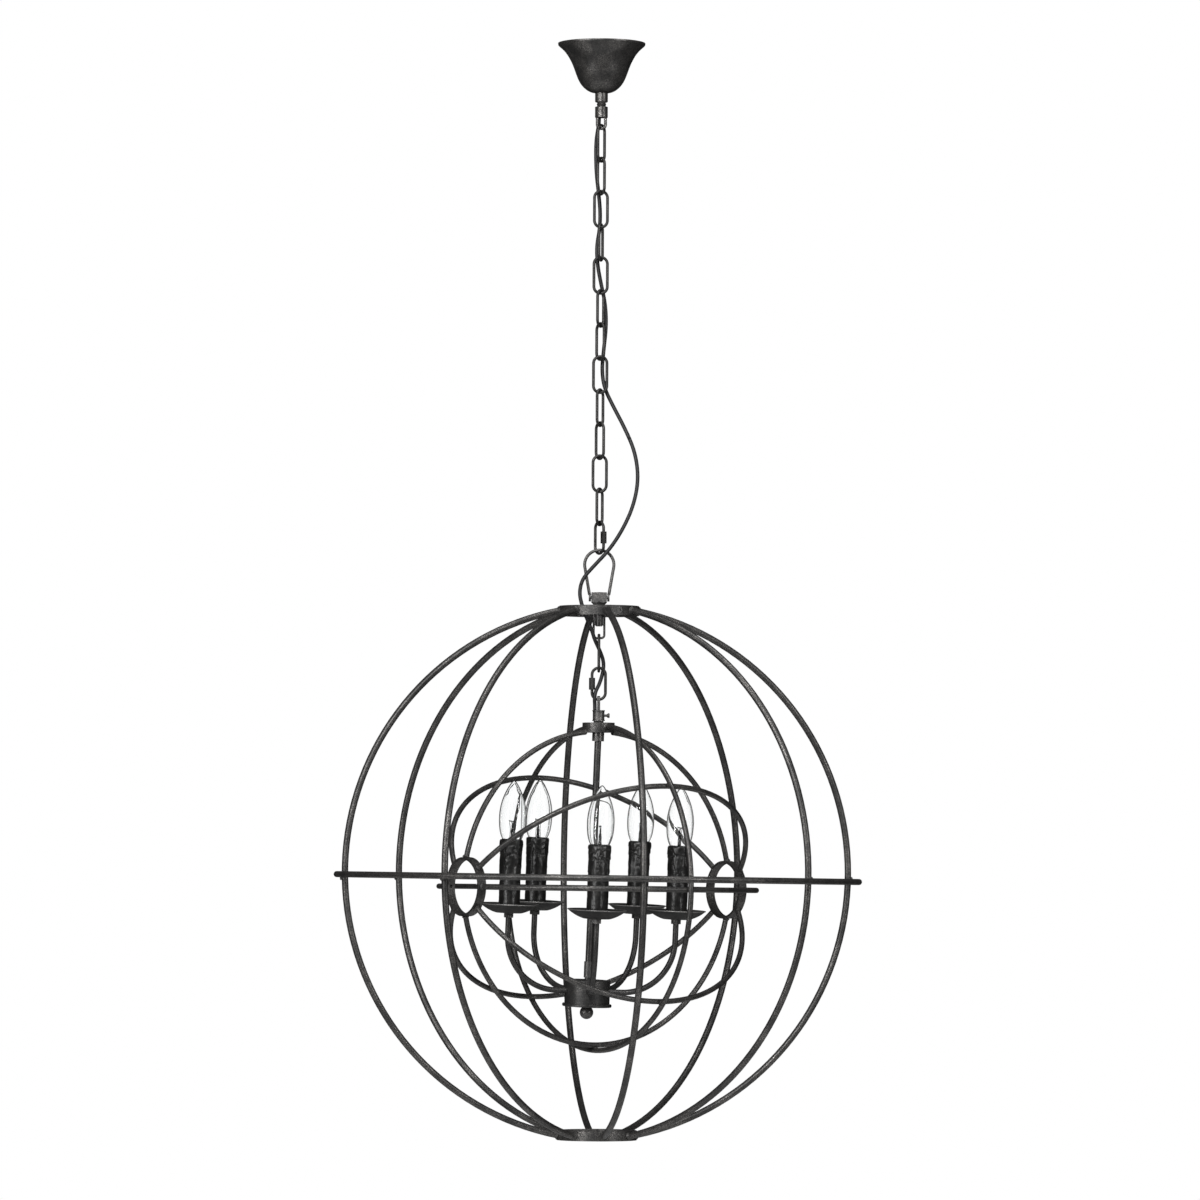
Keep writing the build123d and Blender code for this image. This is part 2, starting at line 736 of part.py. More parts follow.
polar_axis = Vector(-cos(radians(cage_yaw)), -sin(radians(cage_yaw)), 0)
to_front = Vector(sin(radians(cage_yaw)), -cos(radians(cage_yaw)), 0)
cage_reach = degrees(acos((polar_ring_radius - polar_ring_thickness + cage_rib_offset) / cage_rib_arc_radius))


def around_polar_axis(angle):
    """Plane through the polar axis: its x runs outwards at the angle and its y along the axis."""
    outwards = to_front * cos(radians(angle)) + Vector(0, 0, sin(radians(angle)))
    return placed(Plane(origin=(0, 0, 0), x_dir=outwards, z_dir=outwards.cross(polar_axis)), cage)


equator_plane = placed(Plane(origin=(0, 0, 0), x_dir=to_front, z_dir=polar_axis), cage)
polar_planes = {
    "left": equator_plane.offset(polar_reach),
    "right": equator_plane.offset(-polar_reach),
}


def trim_to_hub():
    """Cuts the part in hand clear of the hub ring."""
    with BuildSketch(level(hub_z - hub_height)) as trim:
        Circle(hub_radius)
    extrude(trim.sketch, amount=4 * hub_height, mode=Mode.SUBTRACT)


with BuildPart() as inner_ribs:
    for number in range(cage_rib_count):
        rib_angle = number * 360 / cage_rib_count + cage_rib_drifts[number]
        with BuildLine(around_polar_axis(rib_angle)) as rib_line:
            CenterArc((-cage_rib_offset, 0), cage_rib_arc_radius, -cage_reach, 2 * cage_reach)
        bar(rib_line.wires()[0], cage_rib_diameter / 2)
    for ring_plane in polar_planes.values():
        with BuildSketch(ring_plane.offset(-2 * polar_ring_width)) as trim:
            Circle(polar_ring_radius)
        extrude(trim.sketch, amount=4 * polar_ring_width, mode=Mode.SUBTRACT)
    trim_to_hub()
inner_ribs.part.label = "inner_ribs"
export_step(inner_ribs.part, "parts/inner_ribs.step")

with BuildPart(equator_plane) as inner_equator:
    Torus(cage_hoop_radius, cage_hoop_diameter / 2)
    trim_to_hub()
inner_equator.part.label = "inner_equator"
export_step(inner_equator.part, "parts/inner_equator.step")

for side, ring_plane in polar_planes.items():
    with BuildPart() as polar_ring:
        add(band(ring_plane, polar_ring_radius, polar_ring_thickness, polar_ring_width))
        with BuildSketch(Plane(ring_plane.location * Location((0, 0, 0), (0, 90, 22.5)))) as holes:
            Circle(polar_hole_radius)
        extrude(holes.sketch, amount=2 * polar_ring_radius, both=True, mode=Mode.SUBTRACT)
    polar_ring.part.label = f"polar_ring_{side}"
    export_step(polar_ring.part, f"parts/{polar_ring.part.label}.step")


# ---------------------------------------------------------------------------------------------
# Lamp cluster
# ---------------------------------------------------------------------------------------------


def depth(distance):
    """Plane square to the lamp axis, a distance below the middle of the hub ring."""
    return lamp.offset(-distance)


tube_top = -(hub_height / 2 + lug_collar_height / 2)
with BuildPart() as down_tube:
    with BuildSketch(depth(tube_top)):
        Circle(tube_radius)
        Circle(tube_bore_radius, mode=Mode.SUBTRACT)
    extrude(amount=-(can_top + 3 * can_wall - tube_top))
down_tube.part.label = "down_tube"
export_step(down_tube.part, "parts/down_tube.step")

nut_top = hub_floor - hub_height / 2 + hub_nut_radius * tan(radians(lamp_lean + lamp_pitch)) + weld_gap
with BuildPart() as hub_nut:
    with BuildSketch(depth(nut_top)):
        Circle(hub_nut_radius)
        Circle(tube_radius + running_gap, mode=Mode.SUBTRACT)
    extrude(amount=-(hub_nut_drop - nut_top))
hub_nut.part.label = "hub_nut"
export_step(hub_nut.part, "parts/hub_nut.step")

with BuildPart() as tube_coupling:
    with BuildSketch(depth(coupling_top)):
        Circle(coupling_radius)
        Circle(tube_radius + running_gap, mode=Mode.SUBTRACT)
    extrude(amount=-coupling_height)
tube_coupling.part.label = "tube_coupling"
export_step(tube_coupling.part, "parts/tube_coupling.step")


def lamp_side(number):
    """Plane through the lamp axis and one lamp: x runs outwards and y runs up the lamp axis."""
    turn = first_lamp - number * 360 / lamp_count
    return Plane(lamp.location * Location((0, 0, 0), turn) * Location((0, 0, 0), (90, 0, 0)))


with BuildPart() as junction_can:
    with BuildSketch(depth(can_bottom)):
        Circle(can_radius)
    extrude(amount=can_height)
    with BuildSketch(depth(can_bottom)):
        Circle(can_radius - can_wall)
    extrude(amount=can_height - can_wall, mode=Mode.SUBTRACT)
    with BuildSketch(depth(can_top)):
        Circle(tube_radius + running_gap)
    extrude(amount=-2 * can_wall, mode=Mode.SUBTRACT)
    for number in range(lamp_count):
        side_plane = lamp_side(number)
        hole_plane = Plane(side_plane.location * Location((0, -arm_depth, 0), (0, 90, 0)))
        with BuildSketch(hole_plane):
            Circle(arm_radius + running_gap)
        extrude(amount=can_radius + 1, mode=Mode.SUBTRACT)
junction_can.part.label = "junction_can"
export_step(junction_can.part, "parts/junction_can.step")

with BuildPart() as can_cover:
    with BuildSketch(depth(cover_bottom)):
        Circle(cover_radius)
    extrude(amount=cover_thickness)
    with BuildSketch(depth(can_bottom)):
        Circle(can_radius - can_wall - weld_gap)
    extrude(amount=2 * can_wall)
    chamfer(can_cover.edges().filter_by(GeomType.CIRCLE).group_by(SortBy.RADIUS)[-1], cover_thickness * 0.2)
    with BuildSketch(depth(cover_bottom + 1)):
        Circle(finial_stud_radius + running_gap)
    extrude(amount=cover_thickness + 4 * can_wall, mode=Mode.SUBTRACT)
can_cover.part.label = "can_cover"
export_step(can_cover.part, "parts/can_cover.step")

finial_centre = cover_bottom + joint_gap + finial_drop
with BuildPart() as finial:
    with BuildSketch(depth(finial_centre)):
        Circle(finial_stud_radius)
    extrude(amount=finial_centre - can_top - can_wall)
    with BuildSketch(depth(cover_bottom + joint_gap)):
        Circle(finial_radius * 0.62)
    extrude(amount=-finial_drop)
    with Locations(depth(finial_centre)):
        Sphere(finial_radius)
    with BuildSketch(depth(cover_bottom + joint_gap)):
        Circle(2 * finial_radius)
        Circle(finial_stud_radius, mode=Mode.SUBTRACT)
    extrude(amount=finial_radius, mode=Mode.SUBTRACT)
finial.part.label = "finial"
export_step(finial.part, "parts/finial.step")

arm_start = can_radius - 2 * can_wall
arm_turn = lamp_circle_radius - arm_bend_radius
pan_nut_depth = pan_floor_depth + pan_nut_height
holder_foot = pan_floor_depth - pan_wall
arm_top = holder_foot - pan_nut_height
with BuildPart() as lamp_arms:
    for number in range(lamp_count):
        with BuildLine(lamp_side(number)) as arm_line:
            Line((arm_start, -arm_depth), (arm_turn, -arm_depth))
            CenterArc((arm_turn, -arm_depth + arm_bend_radius), arm_bend_radius, -90, 90)
            Line((lamp_circle_radius, -arm_depth + arm_bend_radius), (lamp_circle_radius, -arm_top))
        bar(arm_line.wires()[0], arm_radius, arm_bore_radius)
lamp_arms.part.label = "lamp_arms"
export_step(lamp_arms.part, "parts/lamp_arms.step")


def candle_frame(number):
    """Frame of one candle: its z runs up the candle, from the level of the hub ring's middle."""
    turn = first_lamp - number * 360 / lamp_count
    return lamp.location * Location((0, 0, 0), turn) * Location((lamp_circle_radius, 0, 0))


def set_on_arms(piece):
    """One copy of the piece on each arm."""
    with BuildPart() as cluster:
        for number in range(lamp_count):
            with Locations(candle_frame(number)):
                add(piece)
    return cluster.part


# The pieces of one candle are drawn on the main axis and then set on the arms.
floor_z = -pan_floor_depth
rim_z = -pan_rim_depth
slope_x = (pan_flat_radius + pan_radius) / 2
slope_z = floor_z + pan_depth * pan_hollow
pan_bore = arm_radius + running_gap
with BuildPart() as one_pan:
    with BuildSketch(Plane.XZ):
        with BuildLine():
            Line((pan_bore, floor_z), (pan_flat_radius, floor_z))
            ThreePointArc((pan_flat_radius, floor_z), (slope_x, slope_z), (pan_radius, rim_z))
            Line((pan_radius, rim_z), (pan_radius - pan_wall, rim_z + pan_wall * 0.3))
            ThreePointArc(
                (pan_radius - pan_wall, rim_z + pan_wall * 0.3),
                (slope_x - pan_wall * 0.5, slope_z + pan_wall),
                (pan_flat_radius, floor_z + pan_wall),
            )
            Line((pan_flat_radius, floor_z + pan_wall), (pan_bore, floor_z + pan_wall))
            Line((pan_bore, floor_z + pan_wall), (pan_bore, floor_z))
        make_face()
    revolve(axis=Axis.Z)

with BuildPart() as drip_pans:
    add(set_on_arms(one_pan.part))
drip_pans.part.label = "drip_pans"
export_step(drip_pans.part, "parts/drip_pans.step")

with BuildPart() as one_nut:
    with BuildSketch(level(-pan_nut_depth)):
        RegularPolygon(pan_nut_radius, 6)
        Circle(pan_bore, mode=Mode.SUBTRACT)
    extrude(amount=pan_nut_height)

with BuildPart() as pan_nuts:
    add(set_on_arms(one_nut.part))
pan_nuts.part.label = "pan_nuts"
export_step(pan_nuts.part, "parts/pan_nuts.step")

holder_bore = bulb_cap_radius + joint_gap
holder_top = holder_foot - holder_height
with BuildPart() as one_holder:
    with BuildSketch(level(-holder_foot)):
        Circle(holder_radius)
    extrude(amount=holder_height)
    with BuildSketch(level(-holder_foot)):
        Circle(pan_bore)
    extrude(amount=pan_nut_height + running_gap, mode=Mode.SUBTRACT)
    with BuildSketch(level(-holder_top)):
        Circle(holder_bore)
    extrude(amount=-bulb_cap_height - joint_gap, mode=Mode.SUBTRACT)

with BuildPart() as lampholders:
    add(set_on_arms(one_holder.part))
lampholders.part.label = "lampholders"
export_step(lampholders.part, "parts/lampholders.step")

candle_height = holder_foot - candle_top
with BuildPart() as one_sleeve:
    with BuildSketch(level(-holder_foot)):
        Circle(candle_radius)
    extrude(amount=candle_height)
    with BuildSketch(level(-candle_top - wax_lip_height)):
        Circle(candle_radius + wax_thickness)
    extrude(amount=wax_lip_height)
    for place, drip_length in enumerate(drip_lengths):
        turn = Location((0, 0, 0), place * 360 / len(drip_lengths))
        foot = Plane(turn * Location((drip_circle_radius, 0, -candle_top - drip_length)))
        with BuildSketch(foot):
            Circle(drip_radius)
        extrude(amount=drip_length)
        with Locations(foot):
            Sphere(drip_radius)
    with BuildSketch(level(-holder_foot)):
        Circle(candle_radius - candle_wall)
    extrude(amount=candle_height + drip_radius, mode=Mode.SUBTRACT)

with BuildPart() as candle_sleeves:
    for number in range(lamp_count):
        with Locations(candle_frame(number) * Location((0, 0, 0), number * drip_shift)):
            add(one_sleeve.part)
candle_sleeves.part.label = "candle_sleeves"
export_step(candle_sleeves.part, "parts/candle_sleeves.step")

cap_bottom = holder_top + bulb_cap_height
shoulder = holder_top - joint_gap
tip = cap_bottom - bulb_length
flame_height = candle_top - tip


def flame(inset):
    """Half section of the candle bulb's glass, drawn inwards by the glass thickness."""
    with BuildSketch(Plane.XZ) as section:
        with BuildLine():
            Line((0, -shoulder + inset), (bulb_cap_radius - inset, -shoulder + inset))
            Spline(
                (bulb_cap_radius - inset, -shoulder + inset),
                (bulb_radius * 0.7 - inset, -candle_top),
                (bulb_radius * 0.915 - inset, -candle_top + flame_height * 0.13),
                (bulb_radius - inset, -candle_top + flame_height * 0.38),
                (bulb_radius * 0.904 - inset, -candle_top + flame_height * 0.59),
                (bulb_radius * 0.62 - inset, -candle_top + flame_height * 0.786),
                (bulb_radius * 0.31 - inset * 0.9, -candle_top + flame_height * 0.93),
                (0, -tip - inset),
                tangents=((1, 0.2), (-1, 0.15)),
            )
            Line((0, -tip - inset), (0, -shoulder + inset))
        make_face()
    return section.sketch


with BuildPart() as one_bulb:
    revolve(flame(0), axis=Axis.Z)
    revolve(flame(bulb_glass), axis=Axis.Z, mode=Mode.SUBTRACT)
    with BuildSketch(level(-cap_bottom)):
        Circle(bulb_cap_radius)
    extrude(amount=cap_bottom - shoulder)
    with BuildSketch(level(-shoulder + bulb_glass)):
        Circle(stem_radius)
    extrude(amount=stem_height * stem_share)
    with BuildSketch(level(-shoulder + bulb_glass + stem_height * stem_share)):
        Circle(support_radius)
    extrude(amount=stem_height * (1 - stem_share))

for number in range(lamp_count):
    with BuildPart() as bulb:
        with Locations(candle_frame(number)):
            add(one_bulb.part)
    bulb.part.label = f"bulb_{number + 1}"
    export_step(bulb.part, f"parts/{bulb.part.label}.step")


# ---------------------------------------------------------------------------------------------
# Supply cord
# ---------------------------------------------------------------------------------------------

# The cord comes out of the loop collar, lies along the back of the chain, swings out in a slack
# loop beside its lower half, crosses in front of the bail and drops through the top ring. Inside
# the orb it threads the small link and the quick link and ends on the lug collar.
cord_end = (-4.9, -2.5)
cord_route = [
    [
        (*cord_exit, loop_collar_bottom_z),
        (*cord_exit, -104.0),
        (-4.8, 7.2, -113.0),
        (-6.6, 10.8, -125.0),
    ],
    [
        (-7.0, 12.4, -143.0),
        (-6.2, 12.9, -168.0),
        (-3.2, 12.5, -193.0),
        (-0.8, 12.9, -217.0),
        (-1.4, 13.1, -240.0),
        (-5.4, 12.8, -262.0),
        (-4.4, 12.9, -286.0),
        (0.6, 12.6, -312.0),
        (6.2, 12.8, -337.0),
        (7.8, 13.0, -365.0),
        (4.6, 12.7, -396.0),
        (2.0, 12.0, -423.0),
        (5.2, 10.6, -447.0),
        (17.0, 9.0, -471.0),
        (32.0, 6.0, -499.0),
    ],
    [
        (46.0, 1.0, -531.0),
        (50.6, -4.0, -566.0),
        (44.5, -8.4, -600.0),
        (31.5, -10.6, -630.0),
        (14.5, -11.6, -657.0),
        (-7.0, -12.4, -680.0),
        (-21.5, -13.4, -696.0),
    ],
    [
        (-26.0, -14.2, -714.0),
        (-22.5, -14.4, -731.0),
        (-15.5, -12.4, -749.0),
    ],
    [
        (-9.0, -7.4, -764.0),
        (-5.4, -4.9, -776.0),
        (0.6, -0.4, -788.0),
        (5.8, 4.4, -801.0),
    ],
    [
        (6.4, 5.0, -813.0),
        (1.8, 0.0, -831.0),
        (-4.6, -5.0, -843.5),
        (-5.4, -4.9, -852.5),
        (*cord_end, -860.0),
        (*cord_end, lug_collar_z),
    ],
]
cord_bend = 0.45  # share of the shorter run that an arc takes up at each side of its point


def cord_stretches():
    """The six runs of the route, each drawn on to the place half way to the next."""
    runs = [[Vector(*point) for point in run] for run in cord_route]
    meetings = [(run[-1] + following[0]) * 0.5 for run, following in zip(runs, runs[1:])]
    for number, run in enumerate(runs):
        yield meetings[number - 1 : number] + run + meetings[number : number + 1]


def cord_radii(points):
    """Bend radius at each inner point, as large as its two runs allow."""
    radii = []
    for before, point, after in zip(points, points[1:], points[2:]):
        half_turn = radians((point - before).get_angle(after - point)) / 2
        shorter = min((point - before).length, (after - point).length)
        radii.append(cord_bend * shorter / tan(half_turn))
    return radii


for number, points in enumerate(cord_stretches(), 1):
    radii = cord_radii(points)
    with BuildPart() as cord:
        with BuildLine() as cord_line:
            FilletPolyline(*points, radius=radii)
        bar(cord_line.wires()[0], cord_diameter / 2)
    length = cord_line.wires()[0].length
    print(f"supply_cord_{number}: {length:.1f} mm, least radius {min(radii):.1f} mm")
    cord.part.label = f"supply_cord_{number}"
    export_step(cord.part, f"parts/{cord.part.label}.step")
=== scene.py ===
# %% [markdown]
# # An orb chandelier
# This scene dresses a ceiling light. A small cage turned on its side hangs inside a large upright
# cage, and five candle lamps stand in the middle. The metal parts arrive as a finished model with
# real sizes, so the work here is what a drawing of solids can't hold: the rubbed black finish, the
# dripping wax, the clear glass and the cord that wanders down the chain.

# %% Load the model and note its box
import json
from math import cos, pi, radians, sin

import bmesh
import bpy
from mathutils import Matrix, Vector, noise


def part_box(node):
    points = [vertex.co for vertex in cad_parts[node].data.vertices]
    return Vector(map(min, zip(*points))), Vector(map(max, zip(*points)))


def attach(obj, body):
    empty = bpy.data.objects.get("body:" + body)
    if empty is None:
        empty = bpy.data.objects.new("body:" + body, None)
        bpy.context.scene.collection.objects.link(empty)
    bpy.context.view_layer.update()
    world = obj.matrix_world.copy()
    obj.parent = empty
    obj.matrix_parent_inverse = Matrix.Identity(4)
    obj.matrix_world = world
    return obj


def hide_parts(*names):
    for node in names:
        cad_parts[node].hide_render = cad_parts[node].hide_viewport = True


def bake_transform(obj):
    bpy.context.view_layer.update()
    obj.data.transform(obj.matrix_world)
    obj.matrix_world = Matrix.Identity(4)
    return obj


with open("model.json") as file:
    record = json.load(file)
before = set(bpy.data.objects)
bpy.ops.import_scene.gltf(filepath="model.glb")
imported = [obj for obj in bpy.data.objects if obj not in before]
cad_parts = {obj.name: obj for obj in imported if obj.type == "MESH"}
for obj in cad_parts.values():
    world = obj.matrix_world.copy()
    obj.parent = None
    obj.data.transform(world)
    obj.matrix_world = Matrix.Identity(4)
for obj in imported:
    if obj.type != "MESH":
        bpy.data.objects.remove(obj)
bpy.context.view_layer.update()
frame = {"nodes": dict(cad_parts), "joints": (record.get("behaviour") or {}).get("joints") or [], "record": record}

nodes = frame["nodes"]
joints = {joint["name"]: joint for joint in frame["joints"]}
mm = 0.001  # the scene is in metres, and this light's details are easier to give in millimetres

# %% [markdown]
# ## The camera
# The photograph is taken from far off with a long lens, level with the middle of the large cage.
# A long lens keeps the near and far bars almost the same width. The camera doesn't tilt up to take
# in the chain: its picture is shifted up instead, which keeps upright lines upright. The light
# hangs a touch out of plumb in the picture, so the camera is rolled by a quarter of a degree.

# %% Camera
camera_distance = 9.1
camera_side = 2.8 * mm
eye_height = -1.0785
picture_width = 1.56  # what the picture takes in at the light's own distance
picture_middle = -0.7236
camera_roll = -0.27

camera_data = bpy.data.cameras.new("camera")
camera = bpy.data.objects.new("camera", camera_data)
bpy.context.scene.collection.objects.link(camera)
camera_data.sensor_width = 36.0
camera_data.lens = camera_data.sensor_width * camera_distance / picture_width
camera_data.shift_y = (picture_middle - eye_height) / picture_width
camera_data.clip_end = 60.0
camera.location = (camera_side, -camera_distance, eye_height)
camera.rotation_euler = (radians(90), radians(camera_roll), 0)
bpy.context.scene.camera = camera
print(f"lens {camera_data.lens:.0f} mm, shift {camera_data.shift_y:.3f}")

# %% [markdown]
# ## Writing shader maths as sums
# A sky or a finish is worked out by shader nodes, and a tree of them is hard to read. Here one
# socket is wrapped in a small class that Python can calculate with, so `rub * 0.4 + 0.1` adds the
# two Math nodes that do it. Every other kind of node comes from one method, `node`, which takes
# the node's type, its settings and what goes into its sockets.

# %% Sockets that Python can calculate with


class Wire:
    """One output of a node in a sky or a finish. Arithmetic on it adds Math nodes."""

    def __init__(self, tree, socket=None):
        self.tree = tree
        self.socket = socket

    def node(self, kind, settings=None, sockets=None, output=0):
        """Adds a node, sets it up, feeds its sockets and returns one of its outputs."""
        made = self.tree.nodes.new(kind)
        for name, value in (settings or {}).items():
            if name == "stops":
                set_stops(made.color_ramp, value)
            else:
                setattr(made, name, value)
        for name, value in (sockets or {}).items():
            if isinstance(value, Wire):
                self.tree.links.new(value.socket, made.inputs[name])
            else:
                made.inputs[name].default_value = value
        return Wire(self.tree, made.outputs[output])

    def calculate(self, operation, first, second):
        """Adds one Math node, fed by wires or numbers."""
        return self.node("ShaderNodeMath", {"operation": operation}, {0: first, 1: second})

    def __add__(self, other):
        return self.calculate("ADD", self, other)

    def __sub__(self, other):
        return self.calculate("SUBTRACT", self, other)

    def __rsub__(self, other):
        return self.calculate("SUBTRACT", other, self)

    def __mul__(self, other):
        return self.calculate("MULTIPLY", self, other)

    __radd__ = __add__
    __rmul__ = __mul__


def set_stops(ramp, stops):
    """Gives a colour ramp its stops, each a position and a grey level."""
    while len(ramp.elements) > 1:
        ramp.elements.remove(ramp.elements[-1])
    for number, (position, level) in enumerate(stops):
        stop = ramp.elements[0] if number == 0 else ramp.elements.new(position)
        stop.position = position
        stop.color = (level, level, level, 1)


def feed(shader, name, wire):
    """Links a wire to one of the shader's sockets."""
    wire.tree.links.new(wire.socket, shader.inputs[name])


print("a wire has:", ", ".join(name for name in vars(Wire) if "__" not in name))

# %% [markdown]
# ## The studio
# The light is shown on white. A white sky lights it from all round, and the metal would look flat
# grey if that were all. So the sky that lights the metal is much dimmer than the one that the
# camera sees, and soft boxes in front draw the long pale lines on the bars. A round pale floor
# stands below, out of the picture's frame.
#
# The bulbs need some care on white. A real studio is dark outside its backdrop, and the glass
# bends that dark in at its rim, which draws the bulb's thin outline. The same is had from how often
# a ray has crossed glass: one that goes straight through a bulb passes two walls, which makes four
# crossings, and sees the white. A ray that only grazes a wall makes two and sees the dark. So what
# is left over after a division by four tells the rim from the middle.

# %% Sky and floor
floor_height = -1.82
floor_radius = 1.3
sky_seen = 1.0
sky_felt = 0.02
straight_crossings = 4  # of glass, by a ray that goes in and out of a bulb
rim_darkening = 0.92  # how much of the white a grazing ray loses
glass_gain = 1.17  # makes up for what four crossings reflect away

world = bpy.data.worlds.new("studio")
bpy.context.scene.world = world
world.use_nodes = True
background = world.node_tree.nodes["Background"]
background.inputs["Color"].default_value = (1, 1, 1, 1)
sky = Wire(world.node_tree)
camera_ray, glass_ray, ray_depth = (
    sky.node("ShaderNodeLightPath", output=name)
    for name in ("Is Camera Ray", "Is Transmission Ray", "Ray Depth")
)
crossings = ray_depth - 1.0  # the sky counts as one bounce more
left_over = sky.calculate("MODULO", crossings, straight_crossings)
grazing = sky.calculate("GREATER_THAN", left_over, 0.5) * rim_darkening
through_glass = glass_ray * ((1.0 - grazing) * glass_gain)
seen = sky.calculate("MAXIMUM", camera_ray, through_glass)
strengths = {"Value": seen, "To Min": sky_felt, "To Max": sky_seen}
feed(background, "Strength", sky.node("ShaderNodeMapRange", {"clamp": False}, strengths))

bpy.ops.mesh.primitive_circle_add(vertices=96, radius=floor_radius, fill_type="NGON")
floor = bpy.context.object
floor.name = "floor"
floor.location.z = floor_height
bpy.context.scene.view_settings.view_transform = "Standard"
print("floor", round(-floor_height, 2), "m below the ceiling")

# %% Soft boxes
studio_target = Vector((0, 0, -0.95))


def soft_box(name, place, width, height, power):
    """A large area light that looks at the middle of the chandelier."""
    data = bpy.data.lights.new(name, "AREA")
    data.shape = "RECTANGLE"
    data.size = width
    data.size_y = height
    data.energy = power
    light = bpy.data.objects.new(name, data)
    bpy.context.scene.collection.objects.link(light)
    light.location = place
    light.rotation_euler = (studio_target - light.location).to_track_quat("-Z", "Y").to_euler()


soft_box("box_front", (-1.0, -4.3, 1.0), width=1.0, height=0.9, power=120)
soft_box("box_left", (-2.6, -2.9, -0.5), width=0.6, height=2.2, power=60)
soft_box("box_right", (2.7, -2.3, -0.3), width=0.5, height=2.2, power=40)
soft_box("box_top", (0.2, -0.8, 1.7), width=1.8, height=1.2, power=40)

# %% [markdown]
# ## Noise in steps of millimetres
# Paint speckles, rubs and casting marks are all noise at some size. The noise is read in the
# object's own space, so it sits on the metal and turns with it, and a helper takes the size of a
# speckle in millimetres, which is easier to judge by eye than a scale.

# %% Helpers for finishes


def new_finish(name):
    """A material with one shader. Gives the material, the shader and a wire to start from."""
    material = bpy.data.materials.new(name)
    material.use_nodes = True
    shader = material.node_tree.nodes["Principled BSDF"]
    return material, shader, Wire(material.node_tree)


def speckle(start, size, detail=2.0, roughness=0.5):
    """Noise whose lumps are about this many millimetres across."""
    place = start.node("ShaderNodeTexCoord", output="Object")
    scale = 1 / (size * mm)
    sockets = {"Vector": place, "Scale": scale, "Detail": detail, "Roughness": roughness}
    return start.node("ShaderNodeTexNoise", sockets=sockets)


def levels(start, value, low, high):
    """Stretches the part of a value between two levels to the range from 0 to 1."""
    return start.node("ShaderNodeValToRGB", {"stops": ((low, 0.0), (high, 1.0))}, {"Fac": value})


def blend_colours(start, amount, first, second):
    """Mixes two colours, each a plain colour or a wire."""
    sockets = {0: amount, 6: first, 7: second}  # the numbers of the Mix node's colour sockets
    return start.node("ShaderNodeMix", {"data_type": "RGBA"}, sockets, output=2)


def rough_up(start, shader, height, depth, strength):
    """Feeds a height between 0 and 1 to the shader as a bump of a depth in millimetres."""
    sockets = {"Height": height, "Distance": depth * mm, "Strength": strength}
    bump = start.node("ShaderNodeBump", sockets=sockets)
    feed(shader, "Normal", bump)


def grey(level, warmth=0.0):
    """A grey that leans to brown by its warmth, as a colour with alpha."""
    return (level * (1 + warmth), level, level * (1 - warmth), 1)


print("a speckle of 1 mm has a scale of", round(1 / mm))

# %% [markdown]
# ## The rubbed black metal
# The bars are sprayed near black, and then brushed over with a dry bronze grey that only catches
# on the high spots. That makes a salt-and-pepper speckle, in patches. Two noises do it: a broad
# one says where the brush passed, and a fine one says which grains it caught. The rubbed grains
# are smoother and more metallic than the paint, so roughness and metal follow the same mask.

# %% Rubbed metal
brushed_levels = (0.36, 0.68)  # of the broad noise, from where the brush missed to where it passed
caught_levels = (0.44, 0.66)  # of the fine noise, from bare paint to a caught grain
stray_rub = 0.22  # share of the rub that also falls outside the brushed patches
cloud_size = 9
casting_size = 2.6
paint_spread = 0.3  # how far the paint's grey wanders from its base
rub_warmth = 0.05


def rubbed_metal(name, base, rub, patch=26, grain=1.1, amount=0.8, dullness=0.3):
    """Dark paint with a lighter metallic rub on its grain. Patch and grain are in millimetres."""
    material, shader, start = new_finish(name)
    patches = levels(start, speckle(start, patch, detail=3), *brushed_levels)
    grains = levels(start, speckle(start, grain, detail=3, roughness=0.65), *caught_levels)
    mask = patches * grains * amount + grains * (stray_rub * amount)
    cloud = speckle(start, cloud_size)
    darker, paler = grey(base * (1 - paint_spread)), grey(base * (1 + paint_spread))
    paint = blend_colours(start, cloud, darker, paler)
    feed(shader, "Base Color", blend_colours(start, mask, paint, grey(rub, rub_warmth)))
    feed(shader, "Metallic", mask * 0.5 + 0.5)
    feed(shader, "Roughness", cloud * 0.16 + (dullness + 0.04) - mask * 0.08)
    casting = speckle(start, casting_size)
    rough_up(start, shader, grains * 0.6 + casting * 0.8, depth=0.12, strength=0.55)
    return material


cage_black = rubbed_metal("cage_black", base=0.028, rub=0.28)
chain_black = rubbed_metal(
    "chain_black", base=0.02, rub=0.13, patch=14, grain=0.9, dullness=0.34
)
fitting_grey = rubbed_metal(
    "fitting_grey", base=0.06, rub=0.3, patch=12, grain=0.8, amount=0.9
)
lamp_black = rubbed_metal("lamp_black", base=0.028, rub=0.2, patch=22, grain=1.0, amount=0.6)
canopy_bronze = rubbed_metal(
    "canopy_bronze", base=0.028, rub=0.34, patch=22, grain=0.9, amount=1.0, dullness=0.22
)
pan_black = rubbed_metal(
    "pan_black", base=0.02, rub=0.13, patch=18, grain=0.8, amount=0.45, dullness=0.4
)
# painted highlight: the pans' rolled rims get a far paler copy of the pans' black metal, which stands in for the
# light that they catch
rim_painted_highlight = rubbed_metal(
    "rim_painted_highlight", base=0.16, rub=0.5, patch=10, grain=0.7, amount=1.0, dullness=0.22
)
rubbed = (cage_black, chain_black, fitting_grey, lamp_black, canopy_bronze, pan_black, rim_painted_highlight)
print("rubbed metals:", ", ".join(finish.name for finish in rubbed))

# %% [markdown]
# ## Plainer finishes
# Behind the canopy there is zinc plate and a pale terminal block. The lampholders are matt black,
# the cord has a satin black sheath, and the bulbs have nickel caps. None is quite even: zinc has
# its spangle, and plastic has a faint moulded grain.

# %% Plain metals and plastics
cloud_grains = 14  # a plastic's clouds are this many grains across
cloud_paleness = 1.35


